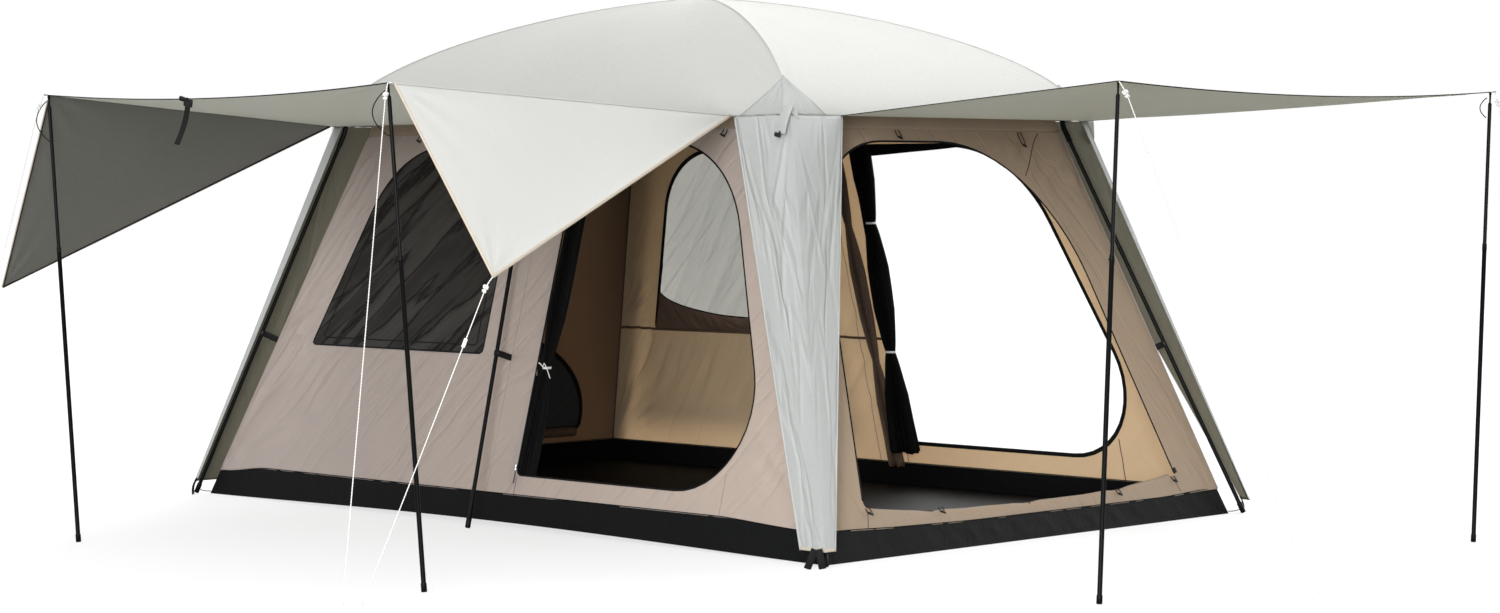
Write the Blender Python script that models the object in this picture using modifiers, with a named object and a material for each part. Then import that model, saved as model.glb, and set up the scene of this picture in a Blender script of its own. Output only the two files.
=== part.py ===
"""Cabin tent: pole frame, hung inner tent, fly with two pitched awnings, and guy ropes.

Metres, +Z up. The origin is the middle of the groundsheet's underside. +X runs along the tent
to the big door end, and the long wall with the front awning faces -Y.
Corners: a = +X -Y, b = -X -Y, c = +X +Y, d = -X +Y.
"""
from functools import partial
from math import acos, atan2, cos, pi, sin, sqrt

import bmesh
import bpy
from mathutils import Matrix, Vector

# Inner tent
BASE_LENGTH = 4.30          # groundsheet along X
BASE_WIDTH = 2.75           # groundsheet along Y
TUB_HEIGHT = 0.12           # black side strip of the groundsheet
TUB_CLOTH = 0.0015
INNER_EAVE_X = 1.44         # half sizes of the inner tent where wall meets ceiling
INNER_EAVE_Y = 0.90
INNER_EAVE_Z = 1.80
INNER_CROWN_Z = 2.34
CLOTH = 0.0010              # thickness of the walls, ceiling and fly as solids
MESH_CLOTH = 0.0006
SEAM = 0.0017               # each panel stops this far before a corner seam
SEAT = 0.0004               # gap between pieces that are sewn or that rest on each other

# Openings in the walls: x (or y) and z on the wall
OPENING_SLANT = 0.405       # a door's or window's far side runs inwards this much for each metre up
DOOR_STRAIGHT_X = 0.15
DOOR_SILL_Z = 0.25
DOOR_TOP_Z = 1.745
DOOR_FOOT_IN = 0.40         # the slanted side would meet the sill this far in from the base's end
DOOR_FOOT_ROUND = 0.38
DOOR_TOP_ROUND = 0.60
WINDOW_STRAIGHT_X = 0.25
WINDOW_SILL_Z = 0.77
WINDOW_TOP_Z = 1.74
WINDOW_FOOT_IN = 0.59
WINDOW_TOP_ROUND = 0.50
END_DOOR_SILL_Z = 0.20
END_DOOR_TOP_Z = 1.745
END_DOOR_FOOT_IN = 0.312    # from the base's side
END_DOOR_SLANT = 0.21       # side runs inwards by this much for each metre up
END_DOOR_ROUND = 0.70
VENT_SILL_Z = 0.20
VENT_IN = 0.325
VENT_RISE = 0.60
CORNER_ROUND = 0.03

# Fly
FLY_EAVE_X = 1.59
FLY_EAVE_Y = 1.00
FLY_EAVE_Z = 1.85
FLY_CROWN_Z = 2.456
FLY_RINGS = 10
DOME_FLAT = 1.55            # exponents of the dome's section
DOME_ROUND = 0.58
FLAP_TOP_FRONT = 0.335      # width of a corner flap's half along a long side
FLAP_TOP_END = 0.32         # and along a short side
FLAP_FOOT_FRONT = 0.135
FLAP_FOOT_END = 0.06
FLAP_FOOT_C = 0.03          # corner c's flap narrows more, so daylight shows beside its leg
FLAP_FOOT_Z = 0.045
FLAP_STAND_OFF = 0.022      # the flap's ridge ends this far outside the leg, each way
STORM_TOP = 0.062           # strip in front of the leg at corners b and c
STORM_FOOT = 0.040
REAR_PANEL_IN_X = -0.20
REAR_PANEL_FOOT_IN = 0.22   # its foot's outer end lies this far in from the base's end
REAR_PANEL_FOOT_OUT = 0.095 # and its foot this far outside the base's side
REAR_PANEL_FOOT_Z = 0.30
REAR_PANEL_CLEAR = 0.008    # between the rear panel and the flap of corner d
REAR_FOLD = 0.012           # depth of the rear panel's folds at its foot
FLAP_FOLD = 0.006           # and of a corner flap's

# Awnings: each corner is the pole top that carries it
FRONT_CORNER_LEFT = Vector((-0.864, -3.117, 1.950))
FRONT_CORNER_RIGHT = Vector((1.524, -3.117, 1.940))
SIDE_CORNER_NEAR = Vector((3.633, -1.357, 1.931))
SIDE_CORNER_FAR = Vector((3.640, 1.246, 1.943))
WING_TIP_LEFT = Vector((-1.250, -3.101, 1.108))
WING_TIP_RIGHT = Vector((1.970, -2.980, 1.212))
EDGE_SAG = 0.037            # sag of the awning's outer edge
BELLY_SAG = 0.030
WING_CUT = 0.035            # a wing starts this far from its pole's top
WING_BELLY = 0.03           # and bellies inwards by this much

# Frame
POLE_RADIUS = 0.0095
POLE_BORE = 0.0084
FOOT_OUT = 0.052            # a corner foot stands this far outside the groundsheet, each way
ELBOW_SHARE = 0.945         # elbows lie at this share of the fly's eave half sizes
ELBOW_SHARE_B = 0.972       # and those of corners b and d at this one
ELBOW_DROP = 0.035          # the elbows lie this far under the fly's eave
ELBOW_SLEEVE = 0.07
ELBOW_FAT = 1.35            # sleeve radius over pole radius
RAFTER_CROWN_DROP = 0.021   # and the roof poles' crown this far under the fly's
RAFTER_ROUND = 0.54
RAFTER_BUNCH = 0.8          # exponent that sets the roof poles' points closer near the elbow
HUB_RADIUS = 0.070
HUB_DEPTH = 0.042
MID_FOOT_X = 0.04
MID_FOOT_OUT = 0.135        # a middle foot stands this far outside the groundsheet
MID_TOP_X = -0.137
FOOT_CAP_LENGTH = 0.05
FOOT_CAP_STEP = 0.001
FOOT_CAP_FAT = 1.30
CLIP_Z = 0.78
CLIP_WIDTH = 0.035
CLIP_THICK = 0.003

# Awning poles: a thin upper tube that slides in a thick lower tube
UPPER_RADIUS = 0.0080
LOWER_RADIUS = 0.0095
LOWER_BORE = 0.0084
LOWER_LENGTH = 1.29
SOCKET_OVERLAP = 0.08       # length of the upper tube inside the lower one
POLE_FOOT_LENGTH = 0.035
POLE_FOOT_RADIUS = 0.0115
SPIKE_RADIUS = 0.0040
SPIKE_LENGTH = 0.040
SHOULDER = 0.002            # chamfer between the spike and the tube
BALL_RADIUS = 0.0060
GROMMET_INSET = 0.014       # the ball sits this far in from both edges of the awning
FRONT_LEFT_FOOT = Vector((-0.79, -3.02, 0.0))
FRONT_RIGHT_FOOT = Vector((1.60, -3.02, 0.0))
SIDE_NEAR_FOOT = Vector((3.67, -1.51, 0.0))
SIDE_FAR_FOOT = Vector((3.60, 1.16, 0.0))

# Guy ropes: where each one ends on the ground
ROPE_RADIUS = 0.00225
ROPE_POINTS = 13
ROPE_BUNCH = 1.5            # exponent that sets a rope's points closer near its top
ROPE_SAG = 0.006
ROPE_LOOP = 0.012           # the rope's eye holds it this far off the pole
ROPE_LOOP_SHARE = 0.04      # share of the rope in which it gets there
ROPE_ENDS = {
    "guy_rope_front_left": Vector((-1.10, -3.55, 0.0)),
    "guy_rope_front_right": Vector((1.765, -3.538, 0.0)),
    "guy_rope_side_near": Vector((4.24, -0.96, 0.0)),
    "guy_rope_side_far": Vector((4.25, 0.846, 0.0)),
    "guy_rope_wing_left": Vector((-1.38, -3.52, 0.0)),
    "guy_rope_wing_right": Vector((1.795, -3.475, 0.0)),
}
RUNNER_RADIUS = 0.007
RUNNER_LENGTH = 0.034
RUNNER_SHARE = 0.20         # how far down its rope the runner sits
RUNNER_REACH = 0.01         # share of the rope, each way, that gives the runner's direction
RUNNER_CLEAR = 0.0008       # between the rope and the runner's bore

# Door cloth tied back beside the doors: wall, place across it at the top and foot, foot's height,
# radius and finish
CURTAINS = {
    "front_door_mesh_curtain": ("front", 0.200, 0.175, 0.22, 0.042, "mesh"),
    "back_door_mesh_curtain": ("back", -0.262, -0.202, 0.20, 0.057, "mesh"),
    "back_door_fabric_curtain": ("back", -0.060, -0.075, 0.16, 0.040, "ceiling"),
}
BUNDLE_TIES = (0.25, 0.67)  # how far down each bundle its two ties sit
BUNDLE_TOP_Z = 1.765        # above the door's top, where the cloth is sewn to the wall
BUNDLE_PLEATS = 6
PLEAT_DEPTH = 0.30          # share of a bundle's radius
PLEAT_TWIST = 2.0
TIE_WAIST = 0.40            # a bundle's radius under a tie over its full radius
TIE_SPREAD = 0.14           # share of its length in which it fills out again
TIE_BULGE = 0.7             # exponent of that swelling
SILL_ROLL_RADIUS = 0.026
SILL_ROLL_DROP = 0.5        # share of its radius by which a roll hangs below the sill
DOOR_ROLL_SHORT = 0.03      # each end of the rolled door stops this far from its side
VENT_ROLL_SHORT = 0.05
ROLL_STEPS = 13
ROLL_TIE = 0.72             # radius under a tie over the roll's radius
ZIP_BODY = Vector((0.012, 0.026, 0.007))
ZIP_OUT = 0.010             # a slider's middle lies this far outside its opening
ZIP_RAISE = 0.02            # and this far above the sill

COLOURS = {
    "fly": ((0.70, 0.71, 0.67), 0.75, 0.0),
    "wall": ((0.42, 0.33, 0.26), 0.85, 0.0),
    "ceiling": ((0.46, 0.38, 0.29), 0.85, 0.0),
    "tub": ((0.018, 0.019, 0.020), 0.60, 0.0),
    "mesh": ((0.010, 0.010, 0.010), 0.80, 0.0),
    "pole": ((0.012, 0.012, 0.013), 0.35, 0.6),
    "plastic": ((0.015, 0.015, 0.016), 0.45, 0.0),
    "rope": ((0.80, 0.80, 0.77), 0.80, 0.0),
    "webbing": ((0.012, 0.012, 0.012), 0.80, 0.0),
}

for old in list(bpy.data.objects):
    bpy.data.objects.remove(old, do_unlink=True)
TENT = bpy.data.collections.new("cabin_tent")
bpy.context.scene.collection.children.link(TENT)


def material(name):
    """The Principled material of one finish, made once."""
    found = bpy.data.materials.get(name)
    if found:
        return found
    colour, roughness, metallic = COLOURS[name]
    made = bpy.data.materials.new(name)
    made.use_nodes = True
    shader = made.node_tree.nodes["Principled BSDF"]
    shader.inputs["Base Color"].default_value = (*colour, 1.0)
    shader.inputs["Roughness"].default_value = roughness
    shader.inputs["Metallic"].default_value = metallic
    made.diffuse_color = (*colour, 1.0)
    return made


def place(name, data, finish, matrix=None):
    """Put mesh or curve data in the tent's collection as one named object."""
    made = bpy.data.objects.new(name, data)
    data.materials.append(material(finish))
    TENT.objects.link(made)
    if matrix is not None:
        made.matrix_world = matrix
    return made


def tube(name, points, radius, finish, shares=None, sides=2):
    """A round tube or rope along points, with an optional share of the radius at each."""
    curve = bpy.data.curves.new(name, "CURVE")
    curve.dimensions = "3D"
    curve.bevel_depth = radius
    curve.bevel_resolution = sides
    curve.use_fill_caps = True
    curve.resolution_u = 1
    spline = curve.splines.new("POLY")
    spline.points.add(len(points) - 1)
    for i, point in enumerate(points):
        spline.points[i].co = (*point, 1.0)
        spline.points[i].radius = shares[i] if shares else 1.0
    return place(name, curve, finish)


def flat(name, outlines, thickness, finish, matrix):
    """A flat cloth panel: the first outline is its edge and the others are holes."""
    curve = bpy.data.curves.new(name, "CURVE")
    curve.dimensions = "2D"
    curve.fill_mode = "BOTH"
    curve.extrude = thickness / 2
    curve.resolution_u = 1
    for outline in outlines:
        spline = curve.splines.new("POLY")
        spline.points.add(len(outline) - 1)
        spline.use_cyclic_u = True
        for i, (across, up) in enumerate(outline):
            spline.points[i].co = (across, up, 0.0, 1.0)
    return place(name, curve, finish, matrix)


def cloth(name, across, along, shape, thickness, finish, offset=0.0):
    """A curved sheet: a grid mapped by shape(u, v), with its thickness from Solidify."""
    mesh = bpy.data.meshes.new(name)
    made = bmesh.new()
    bmesh.ops.create_grid(made, x_segments=across, y_segments=along, size=0.5)
    for vert in made.verts:
        vert.co = shape(vert.co.x + 0.5, vert.co.y + 0.5)
    bmesh.ops.remove_doubles(made, verts=made.verts, dist=1e-5)
    bmesh.ops.recalc_face_normals(made, faces=made.faces)
    made.to_mesh(mesh)
    made.free()
    mesh.shade_smooth()
    sheet = place(name, mesh, finish)
    wall = sheet.modifiers.new("thickness", "SOLIDIFY")
    wall.thickness = thickness
    wall.offset = offset
    return sheet


def turned(name, profile, finish, matrix, closed=False, steps=16):
    """A turned solid: profile points (radius, height) spun about its own Z."""
    mesh = bpy.data.meshes.new(name)
    made = bmesh.new()
    ring = [made.verts.new((radius, 0.0, height)) for radius, height in profile]
    for first, second in zip(ring, ring[1:]):
        made.edges.new((first, second))
    if closed:
        made.edges.new((ring[-1], ring[0]))
    made.to_mesh(mesh)
    made.free()
    solid = place(name, mesh, finish, matrix)
    screw = solid.modifiers.new("turn", "SCREW")
    screw.axis = "Z"
    screw.steps = steps
    screw.render_steps = steps
    screw.use_merge_vertices = True
    screw.merge_threshold = 1e-5
    return solid


def block(name, size, finish, matrix, bevel=0.0):
    """A box with its centre at the matrix, with rounded edges where asked."""
    mesh = bpy.data.meshes.new(name)
    made = bmesh.new()
    bmesh.ops.create_cube(made, size=1.0, matrix=Matrix.Diagonal((*size, 1.0)))
    made.to_mesh(mesh)
    made.free()
    solid = place(name, mesh, finish, matrix)
    if bevel:
        edge = solid.modifiers.new("edge", "BEVEL")
        edge.width = bevel
        edge.segments = 1
    return solid


def frame_along(origin, direction, side):
    """A matrix at origin whose Z runs along direction, with X as near side as can be."""
    z_axis = direction.normalized()
    y_axis = z_axis.cross(side).normalized()
    x_axis = y_axis.cross(z_axis)
    made = Matrix((x_axis, y_axis, z_axis)).transposed().to_4x4()
    made.translation = origin
    return made


def rounded(corners, steps=7):
    """An outline through corners (x, y, radius), each rounded by an arc of its radius."""
    outline = []
    count = len(corners)
    for i, (x, y, radius) in enumerate(corners):
        here = Vector((x, y))
        before = Vector(corners[i - 1][:2])
        after = Vector(corners[(i + 1) % count][:2])
        to_before = (before - here).normalized()
        to_after = (after - here).normalized()
        half = to_before.angle(to_after) / 2
        reach = radius / sin(half)
        centre = here + (to_before + to_after).normalized() * reach
        start = here + to_before * (radius * cos(half) / sin(half)) - centre
        turn = pi - 2 * half
        side = to_before.x * to_after.y - to_before.y * to_after.x
        sign = -1.0 if side > 0 else 1.0
        for k in range(steps + 1):
            angle = -sign * turn * k / steps
            spun = Vector((start.x * cos(angle) + start.y * sin(angle),
                           start.y * cos(angle) - start.x * sin(angle)))
            outline.append(tuple(centre + spun))
    return outline


# Inner tent

HALF_L = BASE_LENGTH / 2
HALF_W = BASE_WIDTH / 2
ELBOW_Z = FLY_EAVE_Z - ELBOW_DROP
RAFTER_CROWN_Z = FLY_CROWN_Z - RAFTER_CROWN_DROP
DOOR_FOOT_X = HALF_L - DOOR_FOOT_IN
WINDOW_FOOT_X = HALF_L - WINDOW_FOOT_IN
END_DOOR_FOOT_Y = HALF_W - END_DOOR_FOOT_IN
VENT_HALF_WIDTH = HALF_W - VENT_IN
SIDES = {
    "front": (Vector((0, -HALF_W, 0)), Vector((1, 0, 0)), HALF_L, INNER_EAVE_X, HALF_W - INNER_EAVE_Y),
    "door_end": (Vector((HALF_L, 0, 0)), Vector((0, 1, 0)), HALF_W, INNER_EAVE_Y, HALF_L - INNER_EAVE_X),
    "back": (Vector((0, HALF_W, 0)), Vector((-1, 0, 0)), HALF_L, INNER_EAVE_X, HALF_W - INNER_EAVE_Y),
    "sleep_end": (Vector((-HALF_L, 0, 0)), Vector((0, -1, 0)), HALF_W, INNER_EAVE_Y,
                  HALF_L - INNER_EAVE_X),
}


def wall_frame(side):
    """The plane of one wall: X across, Y up the slope, Z outwards."""
    origin, across, _, _, lean = SIDES[side]
    outwards = across.cross(Vector((0, 0, 1)))
    up = (Vector((0, 0, INNER_EAVE_Z)) - outwards * lean).normalized()
    made = Matrix((across, up, across.cross(up))).transposed().to_4x4()
    made.translation = origin
    return made


def slope(side):
    """Length up the wall for each metre of height."""
    lean = SIDES[side][4]
    return sqrt(INNER_EAVE_Z ** 2 + lean ** 2) / INNER_EAVE_Z


def on_wall(side, outline):
    """Points (across, height) as points of the wall's own plane."""
    stretch = slope(side)
    return [(across, height * stretch) for across, height in outline]


def wall_edge(side):
    """The trapezium of one wall, from the tub's strip to the eave."""
    _, _, half, top_half, _ = SIDES[side]
    low = TUB_HEIGHT + SEAT
    high = INNER_EAVE_Z - SEAT
    taper = (half - top_half) / INNER_EAVE_Z
    low_half = half - taper * low - SEAM
    high_half = half - taper * high - SEAM
    return [(-low_half, low), (low_half, low), (high_half, high), (-high_half, high)]


def corner_slant():
    """How far a long wall's corner seam runs inwards for each metre up."""
    return (HALF_L - INNER_EAVE_X) / INNER_EAVE_Z


def door_outline(side):
    """The D-shaped door; its far side slants like the corner seam."""
    top_x = DOOR_FOOT_X - OPENING_SLANT * (DOOR_TOP_Z - DOOR_SILL_Z)
    corners = [(DOOR_STRAIGHT_X, DOOR_SILL_Z, CORNER_ROUND),
               (DOOR_FOOT_X, DOOR_SILL_Z, DOOR_FOOT_ROUND),
               (top_x, DOOR_TOP_Z, DOOR_TOP_ROUND),
               (DOOR_STRAIGHT_X, DOOR_TOP_Z, CORNER_ROUND)]
    outline = rounded(corners)
    return [(x * side, z) for x, z in outline]


def window_outline(side, shrink=0.0):
    """The fin-shaped window of the sleeping half."""
    top_x = WINDOW_FOOT_X - OPENING_SLANT * (WINDOW_TOP_Z - WINDOW_SILL_Z)
    corners = [(-WINDOW_STRAIGHT_X - shrink, WINDOW_SILL_Z + shrink, CORNER_ROUND),
               (-WINDOW_STRAIGHT_X - shrink, WINDOW_TOP_Z - shrink, CORNER_ROUND),
               (-top_x + shrink, WINDOW_TOP_Z - shrink, WINDOW_TOP_ROUND - shrink),
               (-WINDOW_FOOT_X + 1.5 * shrink, WINDOW_SILL_Z + shrink, CORNER_ROUND)]
    outline = rounded(corners)
    return [(x * side, z) for x, z in outline]


def end_door_outline():
    """The wide door of the +X end wall."""
    top_y = END_DOOR_FOOT_Y - END_DOOR_SLANT * (END_DOOR_TOP_Z - END_DOOR_SILL_Z)
    corners = [(-END_DOOR_FOOT_Y, END_DOOR_SILL_Z, CORNER_ROUND),
               (END_DOOR_FOOT_Y, END_DOOR_SILL_Z, CORNER_ROUND),
               (top_y, END_DOOR_TOP_Z, END_DOOR_ROUND),
               (-top_y, END_DOOR_TOP_Z, END_DOOR_ROUND)]
    return rounded(corners)


def vent_outline(shrink=0.0, steps=24):
    """The low half-moon vent of the sleeping end."""
    return [((VENT_HALF_WIDTH - shrink) * cos(pi * k / steps),
             VENT_SILL_Z + shrink + (VENT_RISE - 2 * shrink) * sin(pi * k / steps))
            for k in range(steps + 1)]


def make_tub():
    """Groundsheet with its slanted black side strip, open on top."""
    lean_x = corner_slant() * TUB_HEIGHT
    lean_y = (HALF_W - INNER_EAVE_Y) / INNER_EAVE_Z * TUB_HEIGHT
    mesh = bpy.data.meshes.new("groundsheet_tub")
    made = bmesh.new()
    bmesh.ops.create_cube(made, size=1.0)
    for vert in made.verts:
        top = vert.co.z > 0
        half_x = HALF_L - (lean_x if top else 0.0)
        half_y = HALF_W - (lean_y if top else 0.0)
        vert.co = Vector((2 * half_x * vert.co.x, 2 * half_y * vert.co.y, TUB_HEIGHT if top else 0.0))
    lid = [face for face in made.faces if face.normal.z > 0.9]
    bmesh.ops.delete(made, geom=lid, context="FACES_ONLY")
    made.to_mesh(mesh)
    made.free()
    tub = place("groundsheet_tub", mesh, "tub")
    wall = tub.modifiers.new("thickness", "SOLIDIFY")
    wall.thickness = TUB_CLOTH
    wall.offset = -1.0
    wall.use_even_offset = True


def dome(u, v, half_x, half_y, low, high, roundness=DOME_ROUND):
    """Cloth over crossed poles: height depends on the larger of x and y as shares."""
    share = sin(v * pi / 2)
    turn = (u * 4) % 4
    leg = int(turn)
    t = 2 * (turn - leg) - 1
    px, py = ((t, -1), (1, t), (-t, 1), (-1, -t))[leg]
    height = dome_height(share, low, high, roundness)
    return Vector((px * share * half_x, py * share * half_y, height))


def dome_height(share, low, high, roundness=DOME_ROUND):
    """Height of the dome at a share of the way out to its eave."""
    rest = max(0.0, 1 - share ** DOME_FLAT)
    return low + (high - low) * rest ** roundness


def make_inner():
    """Four walls, the ceiling and the mesh panels."""
    fronts = {"front": 1, "back": -1}
    for side, sign in fronts.items():
        outlines = [wall_edge(side), door_outline(sign), window_outline(sign)]
        flat("inner_wall_" + side, [on_wall(side, one) for one in outlines], CLOTH, "wall",
             wall_frame(side))
        flat("window_mesh_" + side, [on_wall(side, window_outline(sign, SEAT))], MESH_CLOTH, "mesh",
             wall_frame(side))
    outlines = [wall_edge("door_end"), end_door_outline()]
    flat("inner_wall_door_end", [on_wall("door_end", one) for one in outlines], CLOTH, "wall",
         wall_frame("door_end"))
    outlines = [wall_edge("sleep_end"), vent_outline()]
    flat("inner_wall_sleep_end", [on_wall("sleep_end", one) for one in outlines], CLOTH, "wall",
         wall_frame("sleep_end"))
    flat("vent_mesh_sleep_end", [on_wall("sleep_end", vent_outline(SEAT))], MESH_CLOTH, "mesh",
         wall_frame("sleep_end"))
    cloth("inner_ceiling", 32, 8,
          lambda u, v: dome(u, v, INNER_EAVE_X, INNER_EAVE_Y, INNER_EAVE_Z, INNER_CROWN_Z),
          CLOTH, "ceiling")


# Frame

CORNERS = {"a": (1, -1), "b": (-1, -1), "c": (1, 1), "d": (-1, 1)}


def elbow(signs):
    """Where a corner leg meets its rafter."""
    share = ELBOW_SHARE if signs[0] > 0 else ELBOW_SHARE_B
    return Vector((signs[0] * share * FLY_EAVE_X, signs[1] * share * FLY_EAVE_Y, ELBOW_Z))


def corner_foot(signs):
    """Where a corner leg stands."""
    return Vector((signs[0] * (HALF_L + FOOT_OUT), signs[1] * (HALF_W + FOOT_OUT), 0.0))


def mid_elbow(sign):
    """Where a middle leg meets its rafter."""
    return Vector((MID_TOP_X, sign * ELBOW_SHARE * FLY_EAVE_Y, ELBOW_Z))


def mid_foot(sign):
    """Where a middle leg stands."""
    return Vector((MID_FOOT_X, sign * (HALF_W + MID_FOOT_OUT), 0.0))


def rafter_height(share):
    """Height of a roof pole at a share of the way from the crown to its elbow."""
    return dome_height(share, ELBOW_Z, RAFTER_CROWN_Z, RAFTER_ROUND)


def rafter(name, top, foot, steps=12):
    """An arched roof pole from the crown hub to its elbow sleeve, which turns to the leg."""
    reach = sqrt(top.x ** 2 + top.y ** 2)
    share = HUB_RADIUS / reach
    fall = rafter_height(share) - rafter_height(2 * share)
    start = share + (SEAT + POLE_RADIUS * fall / HUB_RADIUS) / reach
    points = []
    shares = []
    for k in range(steps + 1):
        share = start + (1 - start) * sin(pi / 2 * k / steps) ** RAFTER_BUNCH
        points.append(Vector((top.x * share, top.y * share, rafter_height(share))))
        shares.append(1.0)
    down = (foot - top).normalized()
    points[-1] = top.copy()
    sleeve_top = points[-2].lerp(top, 0.5)
    points.insert(-1, sleeve_top)
    shares.insert(-1, ELBOW_FAT)
    shares[-1] = ELBOW_FAT
    points.append(top + down * ELBOW_SLEEVE)
    shares.append(ELBOW_FAT)
    tube(name, points, POLE_RADIUS, "pole", shares)


def footed_tube(name, matrix, rim, length, bore, radius, cap_radius, cap_length):
    """A bored pole from its rim down its frame's -Z, with a foot cap that closes its end."""
    cap = -(length - cap_length)
    profile = [(0.0, cap), (bore, cap), (bore, rim), (radius, rim), (radius, cap),
               (cap_radius, cap - FOOT_CAP_STEP), (cap_radius, -length), (0.0, -length)]
    turned(name, profile, "pole", matrix)


def foot_lift(down, radius):
    """Length that a slanted pole loses so that its foot's lower edge just meets the ground."""
    return radius * sqrt(1 - down.z ** 2) / -down.z


def leg(name, top, foot):
    """A straight leg from its elbow sleeve down to a plastic foot cap on the ground."""
    down = (foot - top).normalized()
    cap_radius = POLE_RADIUS * FOOT_CAP_FAT
    length = (foot - top).length - foot_lift(down, cap_radius)
    matrix = frame_along(top, -down, Vector((1, 0, 0)))
    footed_tube(name, matrix, -(ELBOW_SLEEVE + SEAT), length, POLE_BORE, POLE_RADIUS, cap_radius,
                FOOT_CAP_LENGTH)


def clip(name, start, top, foot):
    """A webbing strap with its clip, from the inner tent square to a leg."""
    axis = (top - foot).normalized()
    beside = foot + axis * (start - foot).dot(axis)
    end = beside + (start - beside).normalized() * (POLE_RADIUS + SEAT)
    matrix = frame_along(start.lerp(end, 0.5), end - start, axis)
    block(name, Vector((CLIP_WIDTH, CLIP_THICK, (end - start).length)), "webbing", matrix)


def make_frame():
    """Crown hub, six rafters, six legs and their clips."""
    first_ring = sin(pi / 2 / FLY_RINGS)
    drop = FLY_CROWN_Z - dome_height(first_ring, FLY_EAVE_Z, FLY_CROWN_Z)
    peak = FLY_CROWN_Z - CLOTH - SEAT
    rim = peak - drop * HUB_RADIUS / (first_ring * FLY_EAVE_Y)
    profile = [(0.0, peak), (HUB_RADIUS, rim), (HUB_RADIUS, peak - HUB_DEPTH), (0.0, peak - HUB_DEPTH)]
    turned("crown_hub", profile, "plastic", Matrix.Identity(4), steps=24)
    for letter, signs in CORNERS.items():
        top = elbow(signs)
        foot = corner_foot(signs)
        rafter("roof_pole_" + letter, top, foot)
        leg("leg_" + letter, top, foot)
        seam_low = Vector((signs[0] * HALF_L, signs[1] * HALF_W, 0.0))
        seam_high = Vector((signs[0] * INNER_EAVE_X, signs[1] * INNER_EAVE_Y, INNER_EAVE_Z))
        clip("leg_clip_" + letter, seam_low.lerp(seam_high, CLIP_Z / INNER_EAVE_Z), top, foot)
    for side, sign in (("front", -1), ("back", 1)):
        top = mid_elbow(sign)
        foot = mid_foot(sign)
        rafter("roof_pole_mid_" + side, top, foot)
        leg("leg_mid_" + side, top, foot)
        matrix = wall_frame(side)
        outwards = matrix.to_3x3() @ Vector((0, 0, 1))
        beside = foot.lerp(top, CLIP_Z / ELBOW_Z)
        tilt = CLIP_WIDTH / 2 * abs((top - foot).normalized().dot(outwards))
        depth = (beside - matrix.translation).dot(outwards) - CLOTH / 2 - SEAT - tilt
        clip("leg_clip_mid_" + side, beside - outwards * depth, top, foot)


# Fly

def fly_corner(signs):
    """A corner of the fly's eave."""
    return Vector((signs[0] * FLY_EAVE_X, signs[1] * FLY_EAVE_Y, FLY_EAVE_Z))


def flap_foot(signs):
    """Lower end of a corner flap's ridge, just outside the leg."""
    beside = corner_foot(signs).lerp(elbow(signs), FLAP_FOOT_Z / ELBOW_Z)
    return beside + Vector((signs[0], signs[1], 0.0)) * FLAP_STAND_OFF


def corner_flap(letter, left, right):
    """A strip of the fly that covers a leg. left and right are (top, foot) reaches of its halves."""
    signs = CORNERS[letter]
    ridge_top = fly_corner(signs) - Vector((0, 0, CLOTH / 2 + SEAT))
    ridge_foot = flap_foot(signs)

    def shape(u, v):
        ridge = ridge_top.lerp(ridge_foot, v)
        side = left if u < 0.5 else right
        reach = side[0].lerp(side[1], v)
        share = abs(2 * u - 1)
        fold = FLAP_FOLD * sin(pi * share) * sin(3 * pi * v) * (1 - v)
        return ridge + reach * share + Vector((signs[0], signs[1], 0.0)) * fold

    cloth("corner_flap_" + letter, 6, 10, shape, CLOTH, "fly")


def make_flaps():
    """Corner flaps: two halves at a and d; one half and a storm strip at b and c."""
    for letter in ("a", "d"):
        signs = CORNERS[letter]
        long_half = (Vector((-signs[0] * FLAP_TOP_FRONT, 0, 0)), Vector((-signs[0] * FLAP_FOOT_FRONT, 0, 0)))
        end_half = (Vector((0, -signs[1] * FLAP_TOP_END, 0)), Vector((0, -signs[1] * FLAP_FOOT_END, 0)))
        corner_flap(letter, long_half, end_half)
    b_half = (Vector((0, FLAP_TOP_END, 0)), Vector((0, FLAP_FOOT_FRONT, 0)))
    corner_flap("b", b_half, (Vector((STORM_TOP, 0, 0)), Vector((STORM_FOOT, 0, 0))))
    c_half = (Vector((-FLAP_TOP_FRONT, 0, 0)), Vector((-FLAP_FOOT_C, 0, 0)))
    corner_flap("c", c_half, (Vector((0, -STORM_TOP, 0)), Vector((0, -STORM_FOOT, 0))))


AWNING_CELLS = (10, 8)
OUT_X = FLY_EAVE_X + CLOTH / 2 + SEAT
OUT_Y = FLY_EAVE_Y + CLOTH / 2 + SEAT
AWNINGS = {
    "awning_front": (Vector((-FLY_EAVE_X, -OUT_Y, FLY_EAVE_Z)),
                     Vector((FLY_EAVE_X - FLAP_TOP_FRONT, -OUT_Y, FLY_EAVE_Z)),
                     FRONT_CORNER_LEFT, FRONT_CORNER_RIGHT),
    "awning_side": (Vector((OUT_X, -FLY_EAVE_Y + FLAP_TOP_END, FLY_EAVE_Z)),
                    Vector((OUT_X, FLY_EAVE_Y, FLY_EAVE_Z)),
                    SIDE_CORNER_NEAR, SIDE_CORNER_FAR),
}


def awning_point(name, u, v):
    """An awning runs from the eave (v = 0) to two pole tops (v = 1), and sags between them."""
    inner_first, inner_last, outer_first, outer_last = AWNINGS[name]
    inner = inner_first.lerp(inner_last, u)
    outer = outer_first.lerp(outer_last, u)
    sag = 4 * u * (1 - u) * (EDGE_SAG * v + BELLY_SAG * sin(pi * v))
    return inner.lerp(outer, v) - Vector((0, 0, sag))


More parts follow.
